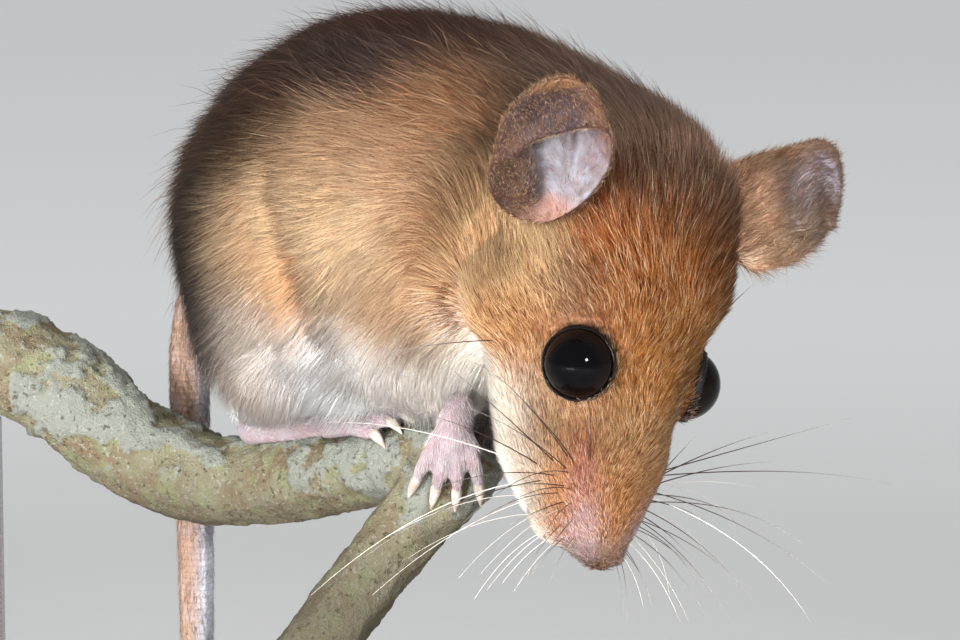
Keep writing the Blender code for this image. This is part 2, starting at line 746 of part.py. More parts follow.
def build():
    stem = tube_loft(STEM, 14, BARK_BUMP, 5)
    branch = carve(tube_loft(BRANCH, 14, BARK_BUMP, 3), stem)
    perch = (branch, stem)

    head_whole = fuse(head_pieces() + trunk_pieces(), 0.4, 3000, 8)
    trunk_whole = fuse(head_pieces() + trunk_pieces(), 0.8, 1500, 6)
    ears = {side: make_ear(side, (head_whole, trunk_whole)) for side in SIDES}
    legs = {side: hind_leg_form(side) for side in SIDES}
    arms = {side: foreleg_form(side) for side in SIDES}
    feet = {side: make_hind_foot(side, perch) for side in SIDES}
    paws = {side: make_forepaw(side, perch) for side in SIDES}
    for side in SIDES:
        for piece in (legs[side], arms[side], feet[side], paws[side]):
            carve(trunk_whole, piece)
            carve(head_whole, piece)
        carve(arms[side], legs[side])
        for limb_form, end in ((legs[side], feet[side]), (arms[side], paws[side])):
            carve(limb_form, end)
            for wood in perch:
                carve(limb_form, wood)
    for wood in perch:
        carve(trunk_whole, wood)
    tail = make_tail()
    carve(tail[0], trunk_whole)

    head, nape, normal = make_head(head_whole)
    trunk = make_trunk(trunk_whole, nape, normal)
    drop(head_whole, trunk_whole)

    node(head, "head", "rust")
    node(trunk["neck"], "neck", "brown")
    node(trunk["chest"], "chest", "gold")
    node(trunk["belly"], "belly", "gold")
    node(trunk["rump"], "rump", "brown")
    for side in SIDES:
        node(legs[side], f"hind_leg_{side}", "gold")
        node(arms[side], f"foreleg_{side}", "gold")
        node(feet[side], f"hind_foot_{side}", "skin")
        node(paws[side], f"forepaw_{side}", "skin")
        node(ears[side], f"ear_{side}", "ear")
        node(make_eye(side), f"eye_{side}", "eye")
    for number, length in enumerate(tail, 1):
        node(length, f"tail_{number}", "tail")
    node(branch, "perch_branch", "bark")
    node(stem, "perch_stem", "bark")
    node(make_base(), "stand_base", "wood", 30)
    for (name, place), wood in zip(ROD_PLACES.items(), perch):
        node(make_rod(place, wood), name, "steel", 30)


build()
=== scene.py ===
import math

import bmesh
import bpy
import numpy as np
from mathutils import Matrix, Vector, noise
from mathutils.bvhtree import BVHTree
from mathutils.kdtree import KDTree


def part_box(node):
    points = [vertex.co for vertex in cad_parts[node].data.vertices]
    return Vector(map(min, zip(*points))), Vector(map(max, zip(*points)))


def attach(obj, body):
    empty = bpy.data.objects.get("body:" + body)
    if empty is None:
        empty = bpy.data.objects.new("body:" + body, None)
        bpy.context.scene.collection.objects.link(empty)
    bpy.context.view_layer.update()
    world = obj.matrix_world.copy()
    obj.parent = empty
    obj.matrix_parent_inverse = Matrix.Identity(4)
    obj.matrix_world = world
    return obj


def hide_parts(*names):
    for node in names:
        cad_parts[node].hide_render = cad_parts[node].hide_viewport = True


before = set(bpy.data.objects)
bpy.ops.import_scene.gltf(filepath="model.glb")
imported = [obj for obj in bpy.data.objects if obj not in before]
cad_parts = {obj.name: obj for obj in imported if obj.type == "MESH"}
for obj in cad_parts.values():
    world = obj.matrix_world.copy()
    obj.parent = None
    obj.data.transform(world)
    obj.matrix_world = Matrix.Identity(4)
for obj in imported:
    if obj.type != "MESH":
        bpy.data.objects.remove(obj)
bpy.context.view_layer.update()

# A golden mouse on its perch and stand. Sizes are in mm here, and mm turns them into metres.
mm = 0.001
hairShare = 1.0  # a quick try grows a quarter of the hairs


def unit(v):
    v = np.asarray(v, float)
    return v / np.maximum(np.linalg.norm(v, axis=-1, keepdims=True), 1e-9)


def tone(*levels):  # a colour read as on a screen, 0 to 255
    return tuple(c / 255 / 12.92 if c < 11 else ((c / 255 + 0.055) / 1.055) ** 2.4 for c in levels)


def step(values, low, high):  # 0 to 1 with soft ends
    t = np.clip((values - low) / (high - low), 0, 1)
    return t * t * (3 - 2 * t)


def axesOf(nose, crown):  # rows: the animal's right, nose way, crown way
    nose = unit(nose)
    right = unit(np.cross(nose, crown))
    return np.array([right, nose, np.cross(right, nose)])


headPose = {
    "origin": np.array((8.3, -14.4, 75.1)),
    "axes": axesOf((-0.056, -0.292, -0.955), (0.691, -0.702, 0.174)),
}
turn = math.radians(-43)  # the way the trunk points, seen from above
bodyPose = {
    "origin": np.array((-4.4, 3.4, 83.3)),
    "axes": axesOf((math.cos(turn), math.sin(turn), 0), (0, 0, 1)),
}


def placed(pose, local):  # right, ahead, up of a pose to the model's own x, y, z
    return pose["origin"] + np.asarray(local, float) @ pose["axes"]


def turned(pose, local):
    return np.asarray(local, float) @ pose["axes"]


def seenFrom(pose, points):  # the other way round
    return (points - pose["origin"]) @ pose["axes"].T


def inScene(name, data):  # a new object
    thing = bpy.data.objects.new(name, data)
    bpy.context.scene.collection.objects.link(thing)
    return thing


# Camera
cameraLook = {"target": (0, -14, 78), "distance": 230, "elevation": 8, "lens": 146.6, "sensor": 36,
              "clip": (0.005, 20)}


def makeCamera():
    tilt = math.radians(cameraLook["elevation"])
    back = Vector((0, -math.cos(tilt), math.sin(tilt)))
    cam = inScene("camera", bpy.data.cameras.new("camera"))
    cam.data.lens = cameraLook["lens"]
    cam.data.sensor_width = cameraLook["sensor"]
    cam.data.clip_start, cam.data.clip_end = cameraLook["clip"]
    cam.location = (Vector(cameraLook["target"]) + back * cameraLook["distance"]) * mm
    cam.rotation_euler = (-back).to_track_quat("-Z", "Y").to_euler()
    bpy.context.scene.camera = cam


# Shader sums: a socket that takes + - * / and **
class Wire:
    def __init__(self, paint, socket):
        self.paint, self.socket = paint, socket

    def sum(self, how, other, swap=False):
        pair = (other, self) if swap else (self, other)
        return self.paint.node("ShaderNodeMath", {"operation": how}, {0: pair[0], 1: pair[1]})

    def __add__(self, other):
        return self.sum("ADD", other)

    def __radd__(self, other):
        return self.sum("ADD", other, True)

    def __sub__(self, other):
        return self.sum("SUBTRACT", other)

    def __rsub__(self, other):
        return self.sum("SUBTRACT", other, True)

    def __mul__(self, other):
        return self.sum("MULTIPLY", other)

    def __rmul__(self, other):
        return self.sum("MULTIPLY", other, True)

    def __truediv__(self, other):
        return self.sum("DIVIDE", other)

    def __rtruediv__(self, other):
        return self.sum("DIVIDE", other, True)

    def __pow__(self, other):
        return self.sum("POWER", other)

    def __neg__(self):
        return self.sum("MULTIPLY", -1.0)


class Paint:
    def __init__(self, name, **fixed):  # fixed: Principled sockets that stay the same all over
        self.material = bpy.data.materials.new(name)
        self.material.use_nodes = True
        self.tree = self.material.node_tree
        self.shader = self.tree.nodes["Principled BSDF"]
        for socket, value in fixed.items():
            self.shader.inputs[socket.replace("_", " ")].default_value = value

    def node(self, kind, settings=None, values=None, out=0):
        node = self.tree.nodes.new(kind)
        for key, value in (settings or {}).items():
            setattr(node, key, value)
        for key, value in (values or {}).items():
            if isinstance(value, Wire):
                self.tree.links.new(value.socket, node.inputs[key])
            elif node.inputs[key].type == "RGBA":
                node.inputs[key].default_value = (*value, 1)
            else:
                node.inputs[key].default_value = value
        return Wire(self, node.outputs[out])

    def feed(self, socket, wire):
        self.tree.links.new(wire.socket, self.shader.inputs[socket])

    def place(self):
        return self.node("ShaderNodeTexCoord", out="Object")

    def height(self):
        return self.node("ShaderNodeSeparateXYZ", {}, {0: self.place()}, 2)

    def attribute(self, name, out="Color"):
        return self.node("ShaderNodeAttribute", {"attribute_name": name}, out=out)

    def stretched(self, scale):
        return self.node("ShaderNodeMapping", {}, {"Vector": self.place(), "Scale": scale})

    def grain(self, size, detail=3.0, stretch=None, rough=0.55):  # noise of a size in mm
        where = self.stretched(stretch) if stretch else self.place()
        return self.node("ShaderNodeTexNoise", {}, {"Vector": where, "Scale": 1 / (size * mm),
                                                    "Detail": detail, "Roughness": rough})

    def cells(self, size, feature="F1"):
        return self.node("ShaderNodeTexVoronoi", {"feature": feature},
                         {"Vector": self.place(), "Scale": 1 / (size * mm)})

    def mix(self, share, first, second, how="MIX"):  # colours: wires or levels
        first, second = (tone(*hue) if isinstance(hue, tuple) else hue for hue in (first, second))
        return self.node("ShaderNodeMix", {"data_type": "RGBA", "blend_type": how},
                         {0: share, 6: first, 7: second}, 2)

    def between(self, wire, low, high, first=0.0, second=1.0):  # with soft ends
        return self.node("ShaderNodeMapRange", {"interpolation_type": "SMOOTHSTEP"},
                         {0: wire, 1: low, 2: high, 3: first, 4: second})

    def spotted(self, hue, size, detail, low, high, share, other):  # spots of another colour
        return self.mix(self.between(self.grain(size, detail), low, high) * share, hue, other)

    def parts(self, wire, out):
        return self.node("ShaderNodeSeparateColor", {}, {0: wire}, out)

    def coloured(self, hue):  # the finished material
        self.feed("Base Color", hue)
        return self.material

    def bump(self, height, strength, depth):
        self.feed("Normal", self.node("ShaderNodeBump", {}, {"Strength": strength, "Distance": depth * mm,
                                                            "Height": height}))


# Meshes out of arrays: points in mm and rows of corners
def makeMesh(name, points, faces, look, slot):
    mesh = bpy.data.meshes.new(name)
    points, faces = np.asarray(points, np.float32) * mm, np.asarray(faces, np.int32)
    mesh.vertices.add(len(points))
    mesh.vertices.foreach_set("co", points.ravel())
    mesh.loops.add(faces.size)
    mesh.loops.foreach_set("vertex_index", faces.ravel())
    mesh.polygons.add(len(faces))
    mesh.polygons.foreach_set("loop_start", np.arange(0, faces.size, faces.shape[1], dtype=np.int32))
    mesh.update(calc_edges=True)
    return addPiece(name, mesh, look)


def addPiece(name, mesh, look):
    mesh.materials.clear()
    mesh.materials.append(look)
    piece = inScene(name, mesh)
    mesh.shade_smooth()
    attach(piece, "root")
    return piece


def giveColours(mesh, name, colours):  # one colour a point
    layer = mesh.attributes.new(name, "FLOAT_COLOR", "POINT")
    rows = np.ones((len(mesh.vertices), 4), np.float32)
    rows[:, :colours.shape[1]] = colours
    layer.data.foreach_set("color", rows.ravel())


def giveValues(mesh, name, values):  # one number a point
    layer = mesh.attributes.new(name, "FLOAT", "POINT")
    layer.data.foreach_set("value", values.astype(np.float32))


def rowsOf(items, field, width=3, kind=np.float32):  # a field of many items as an array
    values = np.empty(len(items) * width, kind)
    items.foreach_get(field, values)
    return values.reshape(-1, width)


def pointsOf(mesh):
    return rowsOf(mesh.vertices, "co").astype(float) / mm


def normalsOf(mesh):
    return rowsOf(mesh.vertex_normals, "vector").astype(float)


def movePoints(mesh, points):
    mesh.vertices.foreach_set("co", (points * mm).astype(np.float32).ravel())
    mesh.update()


def meshOf(name, bm):
    mesh = bpy.data.meshes.new(name)
    bm.to_mesh(mesh)
    bm.free()
    return mesh


def settled(piece):  # the mesh that an object's modifiers make; the object goes
    mesh = bpy.data.meshes.new_from_object(piece.evaluated_get(bpy.context.evaluated_depsgraph_get()))
    bpy.data.objects.remove(piece)
    return mesh


def smoothPath(rows, steps):  # a Catmull-Rom curve through the rows
    rows = [np.asarray(row, float) for row in rows]
    rows = [2 * rows[0] - rows[1]] + rows + [2 * rows[-1] - rows[-2]]
    path = []
    for a, b, c, d in zip(rows, rows[1:], rows[2:], rows[3:]):
        for t in np.arange(steps) / steps:
            path.append(0.5 * (2 * b + (c - a) * t + (2 * a - 5 * b + 4 * c - d) * t * t
                               + (3 * b - a - 3 * c + d) * t ** 3))
    return np.array(path + [rows[-2]])


def nodeShell(names, swell):  # CAD solids as one bmesh, swollen so that their gaps close
    bm = bmesh.new()
    for name in names:
        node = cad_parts[name]
        part = bmesh.new()
        part.from_mesh(node.data)
        part.transform(node.matrix_world)
        bmesh.ops.remove_doubles(part, verts=part.verts, dist=1e-7)
        part.normal_update()
        for vert in part.verts:
            vert.co += vert.normal * swell * mm
        mesh = meshOf("part", part)
        bm.from_mesh(mesh)
        bpy.data.meshes.remove(mesh)
    return bm


def melted(bm, voxel, smooth):  # one closed surface round everything in the bmesh
    piece = inScene("melted", meshOf("melted", bm))
    remesh = piece.modifiers.new("remesh", "REMESH")
    remesh.mode, remesh.voxel_size = "VOXEL", voxel * mm
    relax = piece.modifiers.new("relax", "SMOOTH")
    relax.factor, relax.iterations = 0.5, smooth
    return largest(settled(piece))


def largest(mesh):  # drops everything but the biggest closed surface
    bm = bmesh.new()
    bm.from_mesh(mesh)
    seen, islands = set(), []
    for start in bm.faces:
        if start in seen:
            continue
        island = [start]
        seen.add(start)
        for face in island:
            for edge in face.edges:
                for other in edge.link_faces:
                    if other not in seen:
                        seen.add(other)
                        island.append(other)
        islands.append(island)
    islands.sort(key=len)
    loose = [face for island in islands[:-1] for face in island]
    if loose:
        bmesh.ops.delete(bm, geom=loose, context="FACES")
    bm.to_mesh(mesh)
    bm.free()
    return mesh


def ballAt(bm, centre, half, axes=None, segments=24):
    rows = np.eye(3) if axes is None else np.asarray(axes)
    way, size = Matrix(rows.T.tolist()).to_4x4(), Matrix.Diagonal(Vector(half) * mm).to_4x4()
    place = Matrix.Translation(Vector(centre) * mm) @ way @ size
    bmesh.ops.create_uvsphere(bm, u_segments=segments, v_segments=segments * 2 // 3, radius=1.0, matrix=place)


def tubeArrays(rows, around):  # points and triangles of one closed tapered tube
    rows = np.asarray(rows, float)
    ways = unit(np.gradient(rows[:, :3], axis=0))
    side = unit(np.cross(ways, (0.31, 0.55, 0.78)))
    other = np.cross(ways, side)
    angle = np.arange(around) * math.tau / around
    ring = side[:, None] * np.cos(angle)[None, :, None] + other[:, None] * np.sin(angle)[None, :, None]
    points = rows[:, None, :3] + ring * rows[:, None, 3:4]
    count = len(rows)
    points = np.concatenate([points.reshape(-1, 3), rows[:1, :3], rows[-1:, :3]])
    first, last = count * around, count * around + 1
    k, s = np.meshgrid(np.arange(count - 1), np.arange(around), indexing="ij")
    a, b = (k * around + s).ravel(), (k * around + (s + 1) % around).ravel()
    c, d = a + around, b + around
    s = np.arange(around)
    t = (s + 1) % around
    end = (count - 1) * around
    faces = np.concatenate([np.stack([a, b, d], 1), np.stack([a, d, c], 1),
                            np.stack([t, s, np.full(around, first)], 1),
                            np.stack([end + s, end + t, np.full(around, last)], 1)])
    return points, faces


def gathered(parts):  # several point and face arrays as one
    points, faces, start = [], [], 0
    for some, corners in parts:
        points.append(some)
        faces.append(corners + start)
        start += len(some)
    return np.concatenate(points), np.concatenate(faces)


# Markings and painted shade: soft patches of colour as place, size and hue, in the head's or the body's own
# right, ahead and up, the same on both sides of the animal; some of the body's patches hold painted shade
headColours = {
    "nosePad": ((0.0, 11.4, -1.2), (1.8, 0.8, 1.8), (108, 98, 94)),
    "noseTop": ((1.9, 9.9, -0.4), (1.0, 1.2, 0.9), (190, 168, 175)),
    "bridge": ((0.0, 8.6, 1.0), (1.3, 3.4, 1.2), (182, 132, 84)),
    "stripe": ((3.1, 7.4, 0.3), (0.5, 1.9, 0.6), (170, 116, 118)),
    "eyeCorner": ((4.5, 3.1, 1.9), (0.7, 0.9, 0.8), (206, 174, 184)),
    "snoutSide": ((3.7, 8.2, -1.3), (0.8, 1.8, 0.9), (206, 148, 92)),
    "lipSide": ((4.2, 7.0, -3.3), (1.4, 2.8, 1.5), (190, 178, 162)),
    "rust": ((4.4, 5.6, 0.7), (0.9, 1.2, 0.8), (184, 112, 60)),
    "lore": ((2.2, 4.4, 2.4), (1.7, 1.8, 1.2), (172, 136, 96)),
    "betweenEyes": ((2.4, 0.2, 4.3), (2.8, 3.0, 2.2), (164, 113, 60)),
    "forehead": ((3.2, -5.3, 5.0), (3.8, 3.0, 2.6), (166, 104, 56)),
    "crown": ((2.5, -10.5, 5.4), (4.5, 2.6, 3.5), (136, 106, 90)),
    "earRoot": ((6.3, -7.0, 4.8), (1.7, 1.9, 1.8), (172, 76, 8)),
    "brow": ((6.4, -2.8, 2.6), (2.0, 2.0, 1.8), (120, 94, 74)),
    "temple": ((8.2, -5.8, -0.8), (2.4, 2.7, 2.3), (255, 222, 174)),
    "cheekTop": ((8.2, -1.5, -0.6), (2.2, 3.0, 1.8), (166, 120, 76)),
    "underEye": ((5.0, 4.4, -0.4), (1.6, 1.6, 1.4), (182, 148, 110)),
    "cheek": ((7.9, -1.5, -3.7), (2.6, 3.6, 2.0), (172, 124, 78)),
    "jowl": ((8.2, -5.2, -4.8), (2.4, 3.0, 2.0), (255, 214, 164)),
    "gullet": ((5.2, -5.0, -8.2), (2.2, 2.6, 1.6), (190, 150, 108)),
    "chin": ((3.5, 5.0, -6.0), (3.2, 4.5, 2.4), (246, 240, 230)),
    "throat": ((0.0, -1.0, -9.6), (4.2, 4.6, 2.2), (248, 244, 236)),
}
bodyColours = {
    # partly the coat's own darker back, partly painted shade: the nape, spine, back, loin, haunch top, rump
    # side and low haunch are darker as the light falls off towards the back; the rump patches are then lifted
    # a little, as painted light for their shade from behind
    "nape": ((0.0, 17.5, 9.0), (6.0, 5.0, 4.0), (92, 74, 64)),
    "spine": ((0.0, 2.0, 13.0), (5.5, 14.0, 3.6), (60, 42, 34)),
    "back": ((7.2, 5.6, 8.9), (2.6, 4.6, 1.8), (74, 62, 60)),
    "neckSide": ((7.8, 10.6, 7.2), (2.8, 3.0, 2.4), (172, 128, 94)),
    "loin": ((6.0, -7.0, 9.0), (6.0, 6.0, 4.0), (62, 44, 34)),
    "haunchTop": ((11.5, -3.6, 4.4), (3.0, 3.4, 2.4), (70, 50, 38)),
    "sideTop": ((11.4, 4.4, 4.2), (3.0, 3.4, 1.8), (190, 152, 120)),
    "side": ((12.0, 1.8, 1.0), (3.4, 3.6, 2.6), (214, 182, 144)),
    "flank": ((11.8, 5.6, -1.8), (3.4, 3.4, 3.0), (250, 224, 188)),
    "flankFront": ((10.4, 10.4, 2.2), (2.6, 2.6, 2.2), (198, 162, 130)),
    "shoulder": ((9.5, 12.6, -0.6), (3.0, 3.2, 3.0), (142, 106, 74)),
    "elbow": ((9.7, 8.2, -4.6), (2.4, 2.0, 1.8), (190, 150, 114)),
    "neckLow": ((7.6, 13.0, -4.6), (3.0, 2.6, 2.8), (176, 134, 92)),
    "streak": ((8.9, 10.2, -6.6), (1.6, 1.4, 1.4), (206, 176, 144)),
    "thigh": ((12.4, -2.0, -1.8), (3.2, 2.7, 3.0), (216, 186, 152)),
    # partly painted shade: the front of the thigh by the crease is darker and more orange
    "thighFront": ((11.9, 0.8, -4.4), (2.6, 1.8, 2.0), (218, 162, 104)),
    "thighLow": ((11.8, -2.6, -6.8), (3.0, 3.0, 2.0), (226, 214, 202)),
    "rumpSide": ((12.2, -8.2, -2.8), (3.4, 3.2, 6.2), (53, 46, 41)),
    "rump": ((2.0, -15.5, 0.0), (8.0, 4.5, 8.0), (124, 96, 76)),
    "haunchLow": ((11.8, -6.4, -7.2), (2.6, 1.5, 2.2), (66, 58, 52)),
    # painted light: the shank is paler for the shade round the ankle
    "shank": ((10.4, -4.6, -10.8), (2.6, 2.0, 1.8), (255, 232, 212)),
    "belly": ((0.0, 2.0, -12.5), (8.5, 14.0, 3.8), (250, 252, 255)),
    "lowSide": ((9.4, 3.0, -9.0), (3.6, 4.6, 2.6), (250, 250, 252)),
    "breast": ((2.0, 13.0, -8.5), (4.4, 4.4, 3.4), (248, 240, 226)),
    "forearm": ((8.0, 7.4, -10.0), (2.6, 3.0, 2.6), (208, 194, 178)),
}


# The mouth on the muzzle's underside, in right and ahead, and the crease before the thigh, in ahead and up
mouthLine = [(0.0, 9.6), (1.5, 8.9), (2.9, 7.6), (3.9, 6.0)]
creaseLine = [(-0.6, 5.5), (0.4, 2.2), (1.2, -0.8), (2.0, -3.8), (1.8, -7.0)]
eyeLook = {"place": (4.4, 0.3, 1.0), "radius": 2.15, "way": (0.8, 0.2, 0.56), "opening": 2.04,
           "hollow": 1.0, "filled": 2.5, "sunk": 0.35, "around": 96}
eyeRings = [  # from, to, hue and amount: pale hair, then a black rim
    (2.5, 3.3, tone(186, 166, 150), 0.3),
    (2.3, 2.5, tone(9, 6, 6), 0.98),
]
sides = {"right": 1, "left": -1}


def eyePlace(side):
    return placed(headPose, np.array(eyeLook["place"]) * (sides[side], 1, 1))


def eyeWay(side):
    return turned(headPose, unit(np.array(eyeLook["way"]) * (sides[side], 1, 1)))


def gapTo(line, flat, steps=6, shift=(0, 0)):  # how far places on a plane lie from a line on it
    path = smoothPath(line, steps) + shift
    return np.linalg.norm(flat[:, None] - path[None], axis=2).min(1)


def markingsAndShade(points):  # the colour of skin and coat at each point, painted shade included
    total = np.zeros((len(points), 1)) + 1e-12
    colour = np.zeros((len(points), 3))
    # how far a point belongs to the head rather than to the body
    reach = np.linalg.norm((seenFrom(headPose, points) - (0, -0.5, -1.0)) / (10.5, 13.5, 9.5), axis=1)
    share = 1 / (1 + np.exp((reach[:, None] - 1.0) / 0.05))
    for pose, patches, weight in ((headPose, headColours, share), (bodyPose, bodyColours, 1 - share)):
        local = seenFrom(pose, points)
        local[:, 0] = np.abs(local[:, 0])
        for centre, size, hue in patches.values():
            near = (np.exp(-(((local - centre) / size) ** 2).sum(1, keepdims=True) * 0.9) + 1e-9) * weight
            total += near
            colour += near * np.array(tone(*hue))
    colour = colour / total
    # painted shade: a darker line in the crease in front of each thigh, partly the coat's own colour
    local = seenFrom(bodyPose, points)
    gap = gapTo(creaseLine, local[:, 1:], 4, (1.4, 0))
    line = np.exp(-(gap / 0.7) ** 2) * (np.abs(local[:, 0]) > 6) * (1 - share[:, 0])
    colour = colour * (1 - 0.55 * line[:, None])
    for side in sides:
        off = points - eyePlace(side)
        far = np.linalg.norm(off, axis=1)
        front = step(off @ eyeWay(side) / far, -0.1, 0.25)
        for low, high, hue, amount in eyeRings:
            ring = ((1 - step(far, low, high)) * amount * front)[:, None]
            colour = colour * (1 - ring) + np.array(hue) * ring
    return colour


def waves(points, size, seed):  # a smooth random field, about -1 to 1
    draw, count = np.random.default_rng(seed), 5
    ways = unit(draw.normal(size=(count, 3))) * draw.uniform(0.7, 1.5, (count, 1)) * math.tau / size
    return np.sin(points @ ways.T + draw.uniform(0, math.tau, count)).sum(1) / math.sqrt(count)


# Skin: the flesh nodes melted into one, and sunk by the depth of the coat
skinLook = {"voxel": 0.4, "swell": 0.24, "smooth": 9, "spread": 60, "even": 90, "sag": 1.2, "crease": 1.0,
            "bare": 0.08, "bareLength": 0.9, "snug": 0.07}
fleshParts = {  # node: (coat depth, length, lift in degrees, hairs a square mm)
    "head": (0.6, 1.8, 20, 100),
    "neck": (0.85, 3.0, 22, 84),
    "chest": (0.95, 3.4, 22, 78),
    "belly": (1.0, 3.5, 22, 72),
    "rump": (1.2, 4.0, 26, 70),
    "hind_leg_right": (0.8, 3.1, 20, 80),
    "hind_leg_left": (0.8, 3.1, 20, 66),
    "foreleg_right": (0.6, 2.4, 20, 84),
    "foreleg_left": (0.6, 2.4, 20, 66),
}
# Where bare skin begins: the ends of the furred limbs, and how far the fur thins out over them
limbEnds = {
    "hind_leg_right": (np.array((-13.4, 7.6, 70.2)), 7.0),
    "hind_leg_left": (np.array((-15.4, 12.4, 69.0)), 7.0),
    "foreleg_right": (np.array((-1.5, -5.0, 72.0)), 5.0),
    "foreleg_left": (np.array((2.3, -2.2, 72.4)), 5.0),
}


def flowAt(points, owner):  # which way the hair lies
    names = list(fleshParts)
    nose, crown = headPose["axes"][1], headPose["axes"][2]
    ahead = bodyPose["axes"][1]
    inHead, inBody = seenFrom(headPose, points), seenFrom(bodyPose, points)
    way = np.zeros_like(points)
    headWay = -nose + headPose["axes"][0] * np.clip(inHead[:, :1] * 0.11, -0.7, 0.7)
    headWay = headWay - crown * np.clip((-inHead[:, 2:] - 1.0) * 0.06, 0, 0.4)
    low = np.clip((8 - inBody[:, 2:]) / 14, 0, 1) * np.clip(np.abs(inBody[:, :1]) / 7, 0, 1)
    behind = np.clip((-inBody[:, 1:2] - 8) / 8, 0, 1)
    bodyWay = -ahead - np.array((0, 0, 1.0)) * (0.75 * low + 0.9 * behind)
    for index, name in enumerate(names):
        mine = owner == index
        if name == "head":
            way[mine] = headWay[mine]
        elif name == "neck":
            share = np.clip((-inHead[mine, 1:2] - 9) / 8, 0, 1)
            way[mine] = unit(headWay[mine]) * (1 - share) + unit(bodyWay[mine]) * share
        elif "leg" in name:  # the limbs' hair turns down below the elbow and knee
            share = np.clip((-5 - inBody[mine, 2:]) / 6, 0, 1)
            lean = 0.1 if name.startswith("fore") else -0.35
            way[mine] = unit(bodyWay[mine]) * (1 - share) + (lean * ahead - np.array((0, 0, 1.0))) * share
        else:
            way[mine] = bodyWay[mine]
    return unit(way)


def spread(values, edges, rounds):  # evens values out over the mesh
    values = np.array(values, float)
    flat = values.reshape(len(values), -1)
    count = np.bincount(edges.ravel(), minlength=len(values))[:, None]
    a, b = edges[:, 0], edges[:, 1]
    for _ in range(rounds):
        total = np.stack([np.bincount(a, flat[b, k], len(flat)) + np.bincount(b, flat[a, k], len(flat))
                          for k in range(flat.shape[1])], 1)
        flat = 0.4 * flat + 0.6 * total / np.maximum(count, 1)
    return flat.reshape(values.shape)


